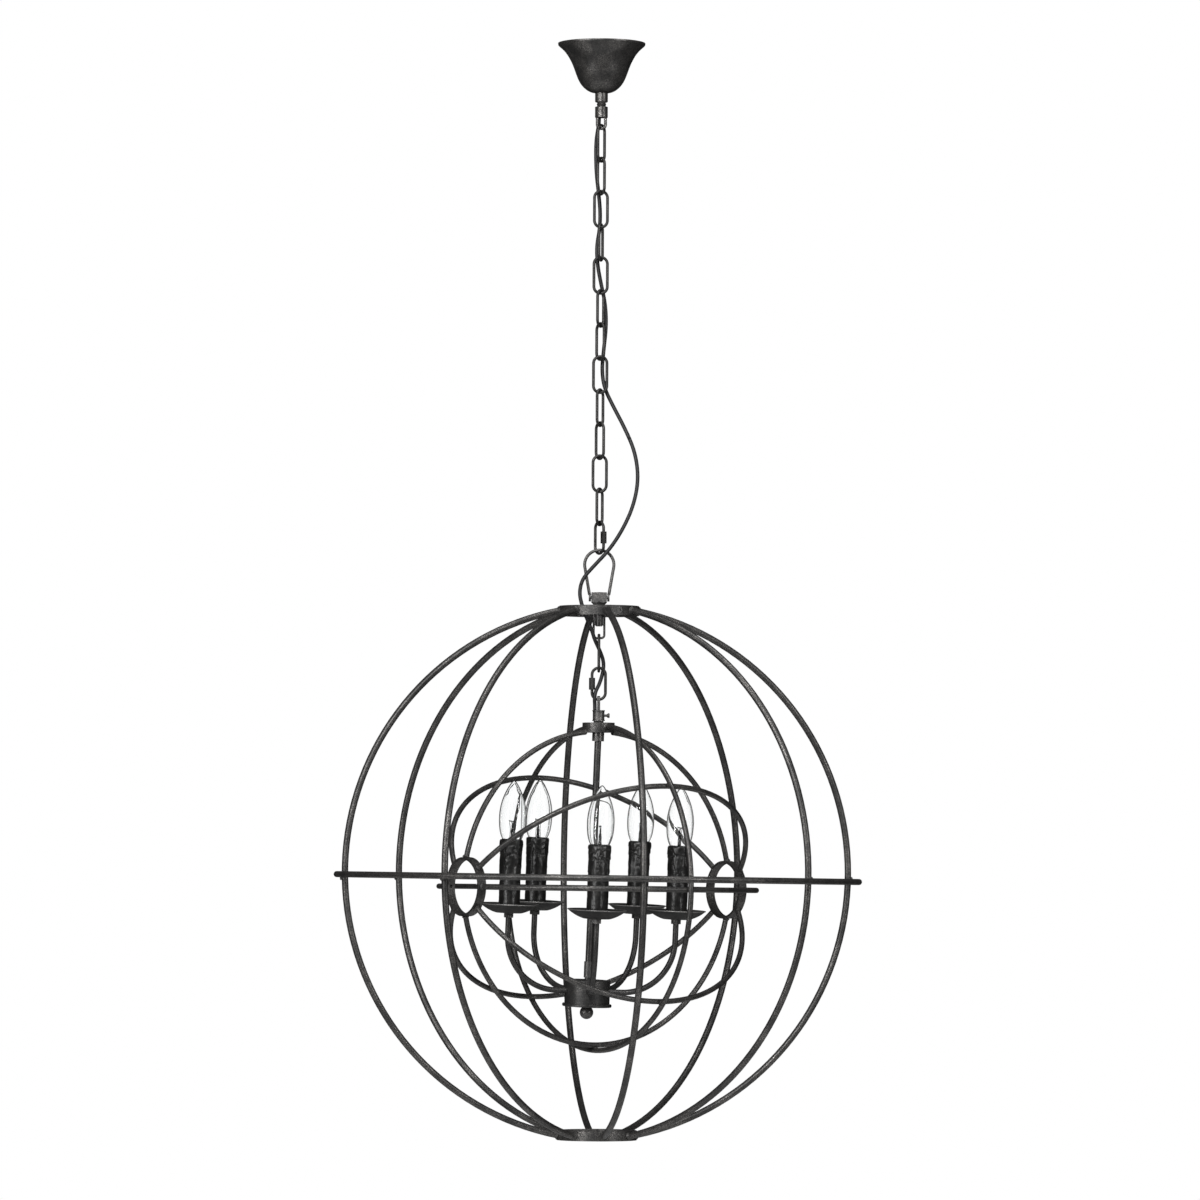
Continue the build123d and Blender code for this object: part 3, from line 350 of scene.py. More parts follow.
def plated(name, colour, size, spread, dullness):
    """Bright plated metal with a cloudy spangle, whose size is in millimetres."""
    material, shader, start = new_finish(name)
    spangle = speckle(start, size, detail=1)
    darker = tuple(channel * (1 - spread) for channel in colour[:3]) + (1,)
    feed(shader, "Base Color", blend_colours(start, spangle, darker, colour))
    shader.inputs["Metallic"].default_value = 1.0
    feed(shader, "Roughness", spangle * 0.2 + dullness)
    rough_up(start, shader, spangle, depth=0.03, strength=0.3)
    return material


def moulded(name, colour, dullness, size=0.7):
    """Moulded plastic with a fine grain of a size in millimetres and slightly uneven colour."""
    material, shader, start = new_finish(name)
    cloud = speckle(start, size * cloud_grains, detail=3)
    paler = tuple(channel * cloud_paleness for channel in colour[:3]) + (1,)
    feed(shader, "Base Color", blend_colours(start, cloud, colour, paler))
    feed(shader, "Roughness", cloud * 0.14 + dullness)
    rough_up(start, shader, speckle(start, size), depth=0.02, strength=0.4)
    return material


zinc = plated("zinc", (0.62, 0.62, 0.6, 1), size=5, spread=0.3, dullness=0.3)
nickel = plated("nickel", (0.7, 0.67, 0.62, 1), size=3, spread=0.15, dullness=0.14)
terminal_white = moulded("terminal_white", (0.62, 0.6, 0.55, 1), dullness=0.45)
holder_black = moulded("holder_black", (0.018, 0.018, 0.018, 1), dullness=0.5)
cord_black = moulded("cord_black", (0.008, 0.008, 0.009, 1), dullness=0.46, size=1.2)
floor_pale = moulded("floor_pale", (0.68, 0.68, 0.68, 1), dullness=0.6, size=30)
floor.data.materials.append(floor_pale)
plain = (zinc, nickel, terminal_white, holder_black, cord_black, floor_pale)
print("plain finishes:", ", ".join(finish.name for finish in plain))

# %% [markdown]
# ## Clear glass
# The bulbs are clear, and what shows of them is what they do to the bars behind, a dark streak that
# bends where it passes the neck, and a thin grey line at the edge. The streak comes from walls with
# a real thickness. The line comes from the sky's count of crossings above, which also needs those
# walls. So the shader only has to be clean glass, with a film of dust that is barely there.

# %% Glass
glass_clear, glass_shader, glass_start = new_finish("glass_clear")
film = speckle(glass_start, size=20, detail=1)
feed(glass_shader, "Roughness", film * 0.01)
glass_shader.inputs["Base Color"].default_value = (0.985, 0.99, 0.99, 1)
glass_shader.inputs["Transmission Weight"].default_value = 1.0
glass_shader.inputs["IOR"].default_value = 1.5
print("glass with an index of", glass_shader.inputs["IOR"].default_value)

# %% [markdown]
# ## Dressing the model's own parts
# Most parts keep the shape that they have, and only get a better finish. A part's object takes the
# finish in its material slot, and its mesh is left alone.

# %% Finish for each part
finishes = {
    "zinc": zinc,
    "block": terminal_white,
    "canopy": canopy_bronze,
    "chain": chain_black,
    "fittings": fitting_grey,
    "cage": cage_black,
    "lamp": lamp_black,
    "pans": pan_black,
    "wax": lamp_black,
    "holder": holder_black,
    "bulb": glass_clear,
    "cord": cord_black,
}
for entry in frame["record"]["subparts"]:
    part = nodes[entry["node"]]
    part.data.materials.clear()
    part.data.materials.append(finishes[entry["material_slot"]])

# %% [markdown]
# ## The supply cord
# A black flex comes out of the collar under the canopy and hangs close behind the chain. It is
# longer than the chain, so it swings out in one lazy loop beside the lower links, crosses in front
# of the bail and drops through the top ring. It then threads the small links, as the fitter would
# thread it, and ends in the lug collar. One smooth spline gives its line. A skin is drawn along it
# in six stretches, which stay fixed where they are drawn.

# %% The cord's line
cord_width = 5 * mm
cord_points_mm = [
    (-3.0, 4.6, -96.6),
    (-3.0, 4.6, -104.0),
    (-4.8, 7.2, -113.0),
    (-6.6, 10.8, -125.0),
    (-7.0, 12.4, -143.0),
    (-6.2, 12.9, -168.0),
    (-3.2, 12.5, -193.0),
    (-0.8, 12.9, -217.0),
    (-1.4, 13.1, -240.0),
    (-5.4, 12.8, -262.0),
    (-4.4, 12.9, -286.0),
    (0.6, 12.6, -312.0),
    (6.2, 12.8, -337.0),
    (7.8, 13.0, -365.0),
    (4.6, 12.7, -396.0),
    (2.0, 12.0, -423.0),
    (5.2, 10.6, -447.0),
    (17.0, 9.0, -471.0),
    (32.0, 6.0, -499.0),
    (46.0, 1.0, -531.0),
    (50.6, -4.0, -566.0),
    (44.5, -8.4, -600.0),
    (31.5, -10.6, -630.0),
    (14.5, -11.6, -657.0),
    (-7.0, -12.4, -680.0),
    (-21.5, -13.4, -696.0),
    (-26.0, -14.2, -714.0),
    (-22.5, -14.4, -731.0),
    (-15.5, -12.4, -749.0),
    (-9.0, -7.4, -764.0),
    (-5.4, -4.9, -776.0),
    (0.6, -0.4, -788.0),
    (5.8, 4.4, -801.0),
    (6.4, 5.0, -813.0),
    (1.8, 0.0, -831.0),
    (-4.6, -5.0, -843.5),
    (-5.4, -4.9, -852.5),
    (-4.9, -2.5, -860.0),
    (-4.9, -2.5, -866.95),
]
cord_points = [Vector(point) * mm for point in cord_points_mm]


def cord_line(points):
    """The points of a smooth spline with these control points."""
    curve = bpy.data.curves.new("cord_line", "CURVE")
    curve.dimensions = "3D"
    curve.resolution_u = 10
    spline = curve.splines.new("NURBS")
    spline.points.add(len(points) - 1)
    for handle, point in zip(spline.points, points):
        handle.co = (*point, 1)
    spline.order_u = 3
    spline.use_endpoint_u = True
    holder = bpy.data.objects.new("cord_line", curve)
    bpy.context.scene.collection.objects.link(holder)
    mesh = bpy.data.meshes.new_from_object(holder)
    line = [vertex.co.copy() for vertex in mesh.vertices]
    bpy.data.objects.remove(holder)
    return line


def line_length(line):
    """Length of a line through points."""
    return sum((after - before).length for before, after in zip(line, line[1:]))


cord_path = cord_line(cord_points)
print(f"cord line: {len(cord_path)} points, {line_length(cord_path):.3f} m")

# %% A skin along a line
cord_sides = 14


def finish_mesh(name, mesh):
    """Turns edited mesh data into an object with smooth sides."""
    data = bpy.data.meshes.new(name)
    for face in mesh.faces:
        face.smooth = True
    mesh.normal_update()
    mesh.to_mesh(data)
    mesh.free()
    made = bpy.data.objects.new(name, data)
    bpy.context.scene.collection.objects.link(made)
    return made


def skin(name, line, radius, sides):
    """A round tube with closed ends along a line of points, without a twist."""
    mesh = bmesh.new()
    rings = []
    along = (line[1] - line[0]).normalized()
    across = along.orthogonal().normalized()
    for number, point in enumerate(line):
        before = line[max(number - 1, 0)]
        after = line[min(number + 1, len(line) - 1)]
        heading = (after - before).normalized()
        across = (across - heading * across.dot(heading)).normalized()
        third = heading.cross(across)
        ring = []
        for side in range(sides):
            turn = 2 * pi * side / sides
            offset = (across * cos(turn) + third * sin(turn)) * radius
            ring.append(mesh.verts.new(point + offset))
        rings.append(ring)
    for near, far in zip(rings, rings[1:]):
        for side in range(sides):
            other = (side + 1) % sides
            mesh.faces.new((near[side], near[other], far[other], far[side]))
    mesh.faces.new(list(reversed(rings[0])))
    mesh.faces.new(rings[-1])
    return finish_mesh(name, mesh)


print("the cord's skin has", cord_sides, "sides")

# %% [markdown]
# ## Parting the cord at its joints
# Each stretch starts halfway along a run of the route, which is a point that the spline passes
# through. The two bodies that meet at each stretch are looked up and printed, but the stretch
# stays fixed where it is drawn.

# %% Cord stretches
cord_breaks = (3, 18, 25, 28, 32)  # the line is parted halfway along the run after these points
cord_bodies = ("root", "link_01", "chain", "bail", "outer_orb", "s_link", "inner_orb")


def nearest(line, place):
    """Number of the line's point that is nearest to a place."""
    return min(range(len(line)), key=lambda number: (line[number] - place).length)


meetings = [(cord_points[number] + cord_points[number + 1]) / 2 for number in cord_breaks]
marks = [0] + [nearest(cord_path, place) for place in meetings] + [len(cord_path) - 1]
for number, (first, last) in enumerate(zip(marks, marks[1:])):
    stretch = cord_path[first : last + 1]
    piece = skin(f"cord_{number + 1}", stretch, cord_width / 2, cord_sides)
    piece.data.materials.append(cord_black)
    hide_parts(f"supply_cord_{number + 1}")
    upper, lower = cord_bodies[number], cord_bodies[number + 1]
    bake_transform(piece)
    measured = line_length(stretch)
    print(f"cord_{number + 1}: {measured * 1000:.0f} mm, from {upper} to {lower}")

# %% [markdown]
# ## Round pieces
# Bulbs, caps and wax are all turned around a line. A half outline is rounded off with a smooth
# curve through its points and then spun. The candles lean a little with the lamp cluster, so the
# place and direction of each come from the joint that its bulb turns on.

# %% Turned pieces
on_axis = 1e-4  # a radius under this is a point on the axis


def between(p, q, r, s, share):
    """One number on the smooth curve from q to r, whose neighbours are p and s."""
    slope = (r - p) * share
    bend = (2 * p - 5 * q + 4 * r - s) * share**2
    sway = (3 * q - p - 3 * r + s) * share**3
    return 0.5 * (2 * q + slope + bend + sway)


def smooth_outline(points, steps):
    """A smooth line through the points of an outline, each a radius and a height."""
    padded = [points[0]] + list(points) + [points[-1]]
    outline = []
    for group in zip(padded, padded[1:], padded[2:], padded[3:]):
        for step in range(steps):
            outline.append(tuple(between(*numbers, step / steps) for numbers in zip(*group)))
    outline.append(tuple(points[-1]))
    return outline


def shell_outline(outside, inside, steps=4):
    """A closed outline: along the outside, back along the inside and round to the start."""
    outline = smooth_outline(outside, steps) + list(reversed(smooth_outline(inside, steps)))
    return outline + [outline[0]]


def turned(name, outline, matrix, sides, radius_at=None):
    """Spins an outline in millimetres around the matrix's Z. radius_at can shape the radius."""
    mesh = bmesh.new()
    rings = []
    for radius, height in outline:
        if radius < on_axis:
            rings.append([mesh.verts.new(matrix @ Vector((0, 0, height * mm)))])
            continue
        ring = []
        for side in range(sides):
            turn = 2 * pi * side / sides
            reach = (radius_at(radius, height, turn) if radius_at else radius) * mm
            place = Vector((reach * cos(turn), reach * sin(turn), height * mm))
            ring.append(mesh.verts.new(matrix @ place))
        rings.append(ring)
    for near, far in zip(rings, rings[1:]):
        for side in range(sides):
            other = (side + 1) % sides
            corners = [near[side % len(near)], near[other % len(near)]]
            corners += [far[other % len(far)], far[side % len(far)]]
            corners = list(dict.fromkeys(corners))
            if len(corners) > 2:
                mesh.faces.new(corners)
    return finish_mesh(name, mesh)


print("two points in four steps make", len(smooth_outline([(1, 0), (1, 1)], 4)), "points")

# %% [markdown]
# ## The canopy's bell
# The bell is spun from thin sheet over a former, so its wall is even and its line never breaks: a
# thin lip lies against the ceiling, the wall sweeps in like a trumpet and rolls under to the foot.
# The outside is given as an outline, and the inside is the same outline moved in by the wall and
# up by a part of it.

# %% Canopy bell
bell_wall = 1.2
bell_hole = 5.4  # radius of the hole for the nipple
inside_lift = 0.6  # how far the inside is also moved up, as a share of the wall
bell_sides = 96
bell_outside = [
    (56.8, 0), (56.75, -1.2), (56.5, -2.4), (55.7, -3.4), (54.2, -4.8), (51.0, -7.6), (47.4, -11.4),
    (44.0, -16.0), (41.1, -21.0), (38.4, -26.4), (35.9, -32.6), (33.5, -39.2), (30.9, -45.8),
    (28.0, -51.4), (24.4, -56.2), (20.0, -60.2), (15.8, -62.7), (12.2, -64.0), (8.6, -64.4),
    (bell_hole, -64.4),
]
bell_inside = [
    (max(radius - bell_wall, bell_hole), min(height + bell_wall * inside_lift, 0))
    for radius, height in bell_outside
]
bell_outline = shell_outline(bell_outside, bell_inside)
bell = turned("canopy_bell", bell_outline, Matrix.Identity(4), bell_sides)
bell.data.materials.append(canopy_bronze)
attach(bell, "root")
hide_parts("canopy")
print("canopy bell:", len(bell.data.vertices), "points")

# %% [markdown]
# ## Welds
# The bars are welded where they meet. At the end of a rib the weld is a rough collar, which fills
# the corner between the round bar and the flat ring. Where a hoop crosses a rib the two round bars
# only touch at a point, and a flat lump of weld fills the gap around it. The places are measured on
# the model: the end of a rib is the middle of its points that are nearest to its ring.

# %% Weld shapes
weld_sides = 20
broad_ripple = 0.09  # unevenness of a weld, as shares of its radius
fine_ripple = 0.05
seed_scale = 90  # a weld's place times this starts its noise, so that no two welds match
end_depth = 2.5 * mm  # how far into a rib's end its points still count as the end
behind_near, behind_far = 4 * mm, 16 * mm  # the depths between which its direction is read
collar_outline = [
    (3.0, 3.4), (4.3, 3.2), (4.75, 2.2), (5.3, 1.3), (6.1, 0.5), (6.3, -0.2), (5.2, -0.7),
    (3.0, -0.8),
]
lump_outline = [
    (0, -2.3), (2.4, -2.1), (3.7, -1.2), (3.2, 0), (3.7, 1.2), (2.4, 2.1), (0, 2.3),
]
weld_grey = rubbed_metal(
    "weld_grey", base=0.035, rub=0.2, patch=5, grain=0.7, amount=0.8, dullness=0.42
)


def facing(direction):
    """The turn that points the Z axis in a direction."""
    return direction.to_track_quat("Z", "Y").to_matrix().to_4x4()


def weld(name, outline, place, along, body, scale=1.0):
    """A rough turned weld at a place, square to a direction, that rides a body."""
    seed = place * seed_scale

    def ripple(radius, height, turn):
        way = Vector((cos(turn) * 1.7, sin(turn) * 1.7, height * 0.5)) + seed
        broad, fine = noise.noise(way), noise.noise(way * 3)
        return radius * scale * (1 + broad_ripple * broad + fine_ripple * fine)

    sized = [(radius, height * scale) for radius, height in smooth_outline(outline, 2)]
    made = turned(name, sized, Matrix.Translation(place) @ facing(along), weld_sides, ripple)
    made.data.materials.append(weld_grey)
    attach(made, body)


print("weld collar", len(collar_outline), "points, weld lump", len(lump_outline), "points")

# %% Measuring where a bar ends


def node_points(name):
    """All points of one of the model's nodes."""
    return [vertex.co.copy() for vertex in nodes[name].data.vertices]


def middle(points):
    """Mean of some points."""
    return sum(points, Vector()) / len(points)


def rib_end(points, ring_middle):
    """Middle of a rib's end at a ring, and a place a little way along the rib."""
    spans = [(point - ring_middle).length for point in points]
    reach = min(spans)
    pairs = list(zip(points, spans))
    end = [point for point, span in pairs if span < reach + end_depth]
    behind = [point for point, span in pairs if reach + behind_near < span < reach + behind_far]
    return middle(end), middle(behind)


print("points on one outer rib:", len(node_points("outer_rib_1")))

# %% Welds of the outer orb
rib_count = 8  # on each of the two cages
crossing_depth = 5 * mm  # how far from a crossing a rib's points still count as the crossing
orb_rib_radius = 4.25 * mm
orb_collar_scale = 0.94
orb_rings = {"top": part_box("outer_top_ring"), "bottom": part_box("outer_bottom_ring")}
orb_hoop_height = sum(corner.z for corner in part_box("outer_equator_ring")) / 2
for number in range(1, rib_count + 1):
    rib = node_points(f"outer_rib_{number}")
    for ring_name, ring_box in orb_rings.items():
        end, behind = rib_end(rib, (ring_box[0] + ring_box[1]) / 2)
        name = f"weld_{ring_name}_{number}"
        weld(name, collar_outline, end, behind - end, "outer_orb", orb_collar_scale)
    misses = [abs(point.z - orb_hoop_height) for point in rib]
    least = min(misses)
    crossing = middle([point for point, miss in zip(rib, misses) if miss < least + crossing_depth])
    outwards = Vector((crossing.x, crossing.y, 0)).normalized()
    place = crossing + outwards * orb_rib_radius
    weld(f"weld_hoop_{number}", lump_outline, place, outwards, "outer_orb")
print("rib ends welded on the outer orb:", rib_count * len(orb_rings))

# %% Welds of the inner cage
cage_rib_radius = 3.5 * mm
cage_collar_scale = 0.8
cage_lump_scale = 0.85
rib_spread = 12  # degrees to each side that still belong to a rib
cage_ribs = node_points("inner_ribs")
ends = {side: middle(node_points(f"polar_ring_{side}")) for side in ("left", "right")}
polar_axis = (ends["left"] - ends["right"]).normalized()
cage_middle = (ends["left"] + ends["right"]) / 2
upwards = (Vector((0, 0, 1)) - polar_axis * polar_axis.z).normalized()
sideways = polar_axis.cross(upwards)


def rib_at(angle):
    """Points of the cage rib at an angle around the polar axis, each with its place along it."""
    way = upwards * cos(radians(angle)) + sideways * sin(radians(angle))
    found = []
    for point in cage_ribs:
        offset = point - cage_middle
        along = offset.dot(polar_axis)
        if (offset - polar_axis * along).normalized().dot(way) > cos(radians(rib_spread)):
            found.append((point, along))
    return found


cage_welds = 0
for number in range(rib_count):
    rib = rib_at(number * 360 / rib_count)
    waist = [point for point, along in rib if abs(along) < crossing_depth]
    if waist:  # rib 0 stops at the hub ring, and rib 1 has no points so near to the hoop
        crossing = middle(waist)
        outwards = (crossing - cage_middle).normalized()
        place = crossing + outwards * cage_rib_radius
        name = f"weld_cage_hoop_{number}"
        weld(name, lump_outline, place, outwards, "inner_orb", cage_lump_scale)
        cage_welds += 1
    for side, sign in (("left", 1), ("right", -1)):
        half = [point for point, along in rib if along * sign > 0]
        if half:
            end, behind = rib_end(half, ends[side])
            name = f"weld_polar_{side}_{number}"
            weld(name, collar_outline, end, behind - end, "inner_orb", cage_collar_scale)
            cage_welds += 1
print("welds on the inner cage:", cage_welds)

# %% Lamp places
lamp_count = 5
sleeve_rise = 11.4  # from the joint's place up to the sleeve's top, in millimetres
lamps = []
for number in range(1, lamp_count + 1):
    joint = joints[f"bulb_{number}_turn"]
    lean = facing(Vector(joint["axis"]).normalized())
    lamps.append((number, Matrix.Translation(joint["pos_m"]) @ lean))
print("lamps:", len(lamps))

# %% [markdown]
# ## Rolled rims of the drip pans
# The edge of a spun pan is rolled over, which makes a thin bead that catches the light. The bead's
# metal is painted much paler than the pan's, a painted highlight along the rim. Its radius and height
# are measured on the pan around each lamp.

# %% Pan rims
rim_thickness = 0.75  # radius of the bead, in millimetres
rim_inset = 0.4  # how far in from the pan's edge the bead's middle lies
bead_steps = 12
pan_sides = 72
pan_reach = 45 * mm  # a pan's points lie within this of its own lamp's axis
pan_points = node_points("drip_pans")
for number, place in lamps:
    back = place.inverted()
    seen_from_lamp = [back @ point for point in pan_points]
    around = [point for point in seen_from_lamp if point.xy.length < pan_reach]
    edge = max(around, key=lambda point: point.xy.length)
    rim_radius, rim_height = edge.xy.length / mm - rim_inset, edge.z / mm
    bead_outline = []
    for step in range(bead_steps + 1):
        turn = 2 * pi * step / bead_steps
        outwards, upwards = rim_thickness * cos(turn), rim_thickness * sin(turn)
        bead_outline.append((rim_radius + outwards, rim_height + upwards))
    bead = turned(f"pan_rim_{number}", bead_outline, place, pan_sides)
    # the pale metal is a painted highlight along the rim
    bead.data.materials.append(rim_painted_highlight)
    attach(bead, "inner_orb")
print(f"pan rim radius {rim_radius:.1f} mm")

# %% [markdown]
# ## Candle sleeves with dripping wax
# The sleeves are cast to look like candles that have burned a while. Wax has run over the rim in
# scallops, one layer over another, and a few long runs end in a bead. A turned sleeve would be
# too clean, so its radius changes with the height and the way round: scallops end in a rounded
# step, runs stand out as narrow ribs, and a little noise keeps any two from matching.

# %% Wax surface
# Sizes are in millimetres, and depths are measured down from the sleeve's top.
sleeve_radius = 14.0
sleeve_bore = 12.8
wax_top = 94.0
wax_steps = 170
wax_sides = 96
waxed_radius = 13.9  # a point of the outline under this is on the rim or in the bore
wax_inset = 0.2
# Each layer of wax: arches round the candle, lowest point, rise of the arches, thickness, phase
wax_layers = ((5, 13.0, 7.5, 0.8, 1.9), (4, 24.0, 13.0, 0.7, 2.6), (3, 36.0, 20.0, 0.45, 0.7))
edge_height = 0.9  # over which a scallop's edge rounds off
groove_depth = 0.8
groove_reach = 1.0  # half the height of the groove under a scallop
run_count = 5
run_depth, run_wander = 34.0, 22.0  # where the long runs end, and how much that varies
run_thickness = 0.9
run_narrowing = 4  # a higher power makes the runs narrower
run_foot = 2.0  # height over which a run's end rounds off
bead_reach = 3.2  # half the height of the bead at a run's end
broad_lump, fine_lump = 0.5, 0.2  # depth of the noise all over
taper_depth, taper = 30, 0.8  # the candle narrows over this depth by this much
mouth_depth, mouth_taper = 3.2, 1.3  # and once more close to its mouth


def rounded_step(value):
    """0 below zero and 1 above one, with a soft turn between."""
    value = min(max(value, 0.0), 1.0)
    return value * value * (3 - 2 * value)


def wax_radius_for(lamp_number):
    """Gives the function that shapes one candle's wax. The number keeps two from matching."""

    def wax_radius(radius, height, turn):
        if radius < waxed_radius:
            return radius
        depth = wax_top - height
        way = Vector((cos(turn), sin(turn), lamp_number * 3.7))
        wander = noise.noise(way * 1.6)
        out = 0.0
        for count, reach, sway, thickness, phase in wax_layers:
            arch = abs(sin(turn * count / 2 + lamp_number * phase + wander * 1.4))
            edge = reach - sway * arch
            out += thickness * rounded_step((edge - depth) / edge_height)
            out -= groove_depth * max(0.0, 1 - abs(depth - edge - edge_height) / groove_reach)
        wave = sin(turn * run_count + lamp_number * 1.3 + wander * 2.5)
        runs = max(0.0, wave) ** run_narrowing
        run_end = run_depth + run_wander * noise.noise(way * 2.3 + Vector((5, 1, 2)))
        bead = runs * max(0.0, 1 - abs(depth - run_end) / bead_reach) ** 0.6
        run = rounded_step((run_end - depth) / run_foot)
        out += run_thickness * runs * run + run_thickness * bead
        broad_way = Vector((way.x * 2, way.y * 2, height * 0.09 + lamp_number))
        fine_way = Vector((way.x * 7, way.y * 7, height * 0.25))
        out += broad_lump * noise.noise(broad_way)
        out += fine_lump * noise.noise(fine_way)
        mouth = max(0.0, 1 - depth / mouth_depth) ** 2
        out -= taper * rounded_step((taper_depth - depth) / taper_depth) + mouth_taper * mouth
        return radius + out - wax_inset

    return wax_radius


def wax_outline():
    """Half outline of a sleeve: up the outside, over the rounded rim and down the bore."""
    outline = [(sleeve_radius, wax_top * step / wax_steps) for step in range(wax_steps - 1)]
    outline += [(sleeve_radius, wax_top - 1.1), (13.95, wax_top - 0.55), (13.6, wax_top - 0.15)]
    outline += [(13.2, wax_top), (12.85, wax_top - 0.5), (sleeve_bore, wax_top - 3)]
    outline += [(sleeve_bore, 60), (sleeve_bore, 0)]
    return outline


print("wax outline:", len(wax_outline()), "points")

# %% [markdown]
# The wax is as black as the lamp, with a thin speckle of the same dry bronze rub in patches. A bump
# of broad soft lumps makes it look poured rather than sprayed.

# %% Wax finish
wax_black, wax_shader, wax_start = new_finish("wax_black")
wax_patches = levels(wax_start, speckle(wax_start, 9, detail=3), 0.42, 0.7)
wax_grain = levels(wax_start, speckle(wax_start, 1.2, detail=3, roughness=0.7), 0.42, 0.7)
wax_rub = wax_patches * wax_grain * 0.4 + wax_grain * 0.06
feed(wax_shader, "Base Color", blend_colours(wax_start, wax_rub, grey(0.009), grey(0.12, 0.05)))
feed(wax_shader, "Metallic", wax_rub * 0.4 + 0.1)
feed(wax_shader, "Roughness", 0.31 - wax_rub * 0.06)
wax_lumps = speckle(wax_start, size=5)
rough_up(wax_start, wax_shader, wax_lumps * 0.8 + wax_grain * 0.1, depth=0.3, strength=0.5)
print("wax finish:", wax_black.name)

# %% Candle sleeves
for number, place in lamps:
    foot = place @ Matrix.Translation((0, 0, (sleeve_rise - wax_top) * mm))
    wax_radius = wax_radius_for(number)
    sleeve = turned(f"wax_sleeve_{number}", wax_outline(), foot, wax_sides, wax_radius)
    sleeve.data.materials.append(wax_black)
    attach(sleeve, "inner_orb")
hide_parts("candle_sleeves")

# %% [markdown]
# ## Candle bulbs
# Each bulb is blown glass on a nickel cap. Inside stands a glass stem with a beaded dark core that
# holds the wires. Two leads rise from it to the coil, with fine supports between them. The envelope
# is a shell with an inside and an outside, closed in one mesh, so light bends at both faces.

# %% Bulb outlines
bulb_outside = [
    (6.4, -7.9), (8.6, -6.6), (10.6, -4.2), (12.3, -0.4), (14.6, 5.0), (16.3, 11.0),
    (17.3, 18.0), (17.72, 26.0), (17.6, 33.0), (16.9, 40.0), (15.4, 47.5), (13.1, 55.0),
    (10.2, 62.0), (7.2, 68.0), (4.6, 72.2), (2.4, 75.0), (0.9, 76.1), (0, 76.3),
]
glass_wall = 1.0
shoulder = 60  # height from which the wall's thickness counts upwards too
foot_wall = 0.2
bulb_inside = [
    (max(radius - glass_wall, 0.0), height - (foot_wall if height < shoulder else glass_wall))
    for radius, height in bulb_outside
]
stem_outline = [
    (5.4, -7.6), (4.6, -6.0), (3.2, -3.0), (2.4, 1.0), (2.0, 5.0), (1.9, 8.5), (2.1, 10.6),
    (1.5, 12.0), (0, 12.4),
]
core_outline = [
    (0, -5.0), (1.3, -4.0), (1.6, -1.5), (0.9, 1.0), (1.5, 3.2), (0.9, 5.4), (1.6, 8.0),
    (1.0, 10.4), (1.7, 13.0), (0.9, 15.4), (1.3, 17.6), (0.7, 19.4), (0.9, 21.0), (0, 22.0),
]
cap_outline = [
    (0, -28), (2.6, -27.8), (3.6, -26.6), (5.4, -25.8), (6.1, -25.0), (6.3, -23.8), (5.9, -22.8),
    (6.3, -21.8), (5.9, -20.8), (6.3, -19.8), (5.9, -18.8), (6.3, -17.8), (5.9, -16.8),
    (6.3, -15.8), (5.9, -14.8), (6.3, -13.8), (6.2, -11.0), (6.35, -8.4), (6.0, -7.6), (0, -7.4),
]
print("bulb height over the sleeve:", bulb_outside[-1][1], "mm")

# %% Wire finish
wire_dark, wire_shader, wire_start = new_finish("wire_dark")
wire_soot = speckle(wire_start, size=1.5)
feed(wire_shader, "Base Color", blend_colours(wire_start, wire_soot, grey(0.02), grey(0.09)))
feed(wire_shader, "Roughness", wire_soot * 0.2 + 0.25)
wire_shader.inputs["Metallic"].default_value = 1.0
print("wire finish:", wire_dark.name)

# %% Wires in a bulb
wire_radius = 0.35
wire_sides = 6
coil_turns = 5
coil_radius = 0.4
coil_steps = 10  # points in one turn of the coil
coil_hooks = [(-4.8, 0, 24), (-1.6, 1.4, 23.4), (1.6, 1.4, 23.4), (4.8, 0, 24)]


def wires(name, matrix, runs):
    """Thin wires along runs of points in millimetres, joined in one piece."""
    group = bmesh.new()
    for run in runs:
        line = [matrix @ (Vector(point) * mm) for point in run]
        strand = skin("strand", line, wire_radius * mm, wire_sides)
        group.from_mesh(strand.data)
        bpy.data.objects.remove(strand)
    return finish_mesh(name, group)


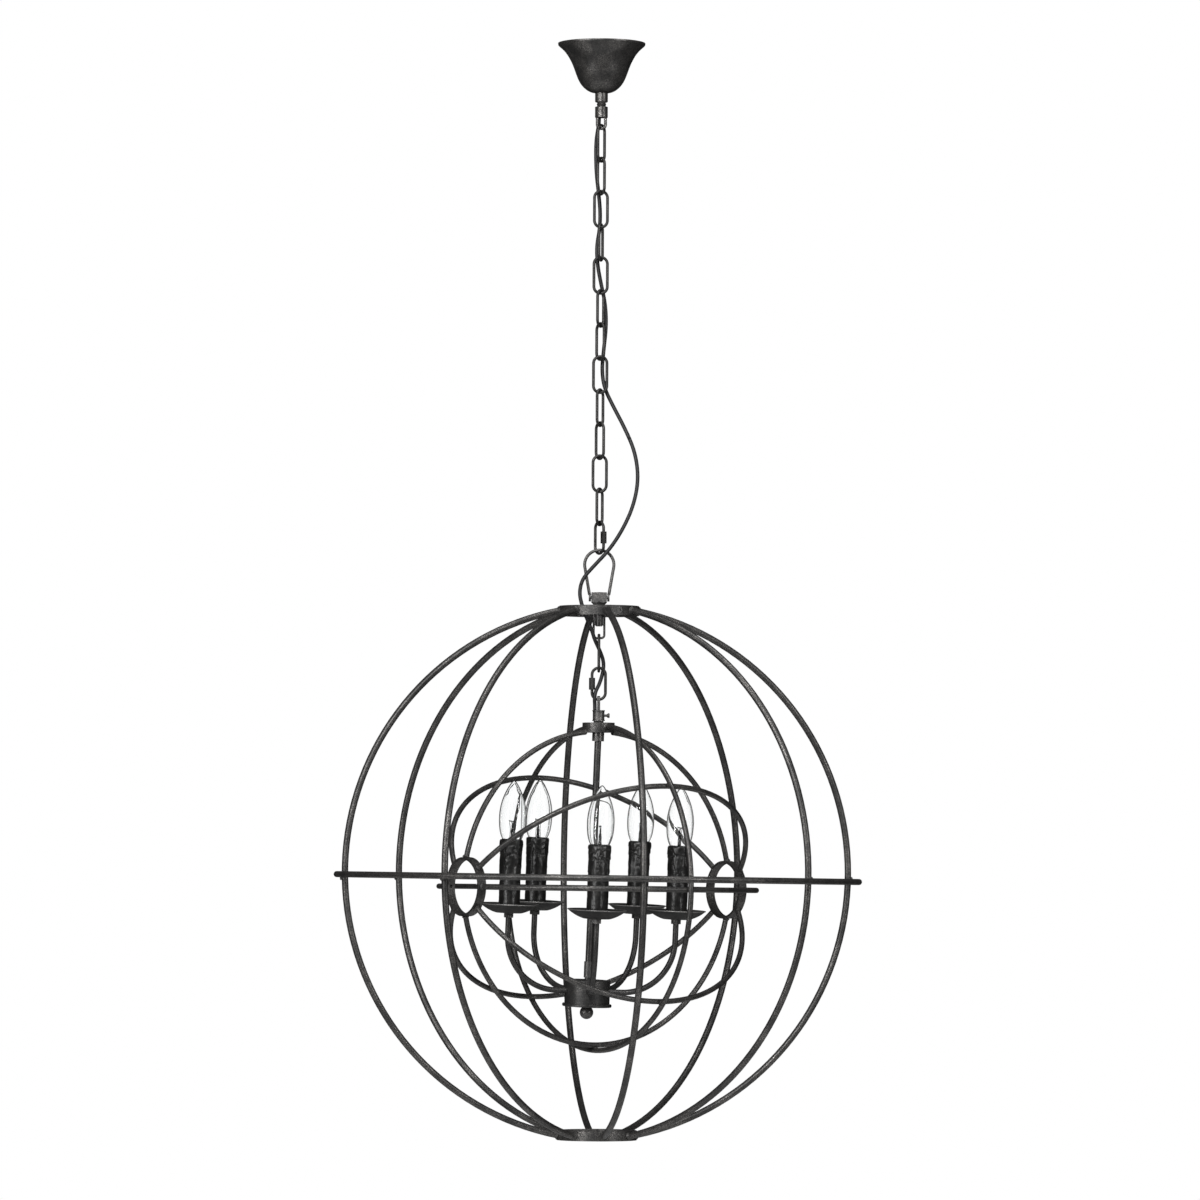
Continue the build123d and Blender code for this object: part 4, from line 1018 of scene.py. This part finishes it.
def coil(first, last):
    """Points of a fine coil between two points."""
    points = []
    for step in range(coil_turns * coil_steps + 1):
        share = step / (coil_turns * coil_steps)
        turn = 2 * pi * step / coil_steps
        offset = Vector((0, cos(turn), sin(turn))) * coil_radius
        points.append(Vector(first).lerp(Vector(last), share) + offset)
    return points


def bulb_wires():
    """Lead wires, supports and the filament, in the bulb's own space."""
    runs = []
    for side in (-1, 1):
        foot, knee = (side * 3.6, 0, -4), (side * 3.4, 0, 6)
        runs.append([foot, knee, (side * 2.6, 0, 12), (side * 4.8, 0, 24)])
        runs.append([(side * 4.8, 0, 24), (side * 5.1, 0, 24.6), (side * 5.4, 0, 24.2)])
    for lean in (-1.6, 1.6):
        runs.append([(0, 0, 20), (lean * 0.5, 0.6, 22), (lean, 1.4, 23.4)])
    runs += [coil(first, last) for first, last in zip(coil_hooks, coil_hooks[1:])]
    return runs


print("wires in a bulb:", len(bulb_wires()))

# %% Bulbs
bulb_turn = 0.9  # radians from one bulb's turn to the next
glass_sides, stem_sides, cap_sides, core_sides = 64, 24, 40, 16
outline_steps = 3
glass_outline = shell_outline(bulb_outside, bulb_inside)
smooth_stem = smooth_outline(stem_outline, outline_steps)
smooth_core = smooth_outline(core_outline, outline_steps)
for number, place in lamps:
    seat = place @ Matrix.Translation((0, 0, sleeve_rise * mm))
    seat = seat @ Matrix.Rotation(number * bulb_turn, 4, "Z")
    envelope = turned(f"bulb_glass_{number}", glass_outline, seat, glass_sides)
    stem = turned(f"bulb_stem_{number}", smooth_stem, seat, stem_sides)
    cap = turned(f"bulb_cap_{number}", cap_outline, seat, cap_sides)
    core = turned(f"bulb_core_{number}", smooth_core, seat, core_sides)
    leads = wires(f"bulb_wires_{number}", seat, bulb_wires())
    looks = (glass_clear, glass_clear, nickel, wire_dark, wire_dark)
    for piece, finish in zip((envelope, stem, cap, core, leads), looks):
        piece.data.materials.append(finish)
        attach(piece, f"bulb_{number}")
    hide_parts(f"bulb_{number}")
print("bulbs:", len(lamps))
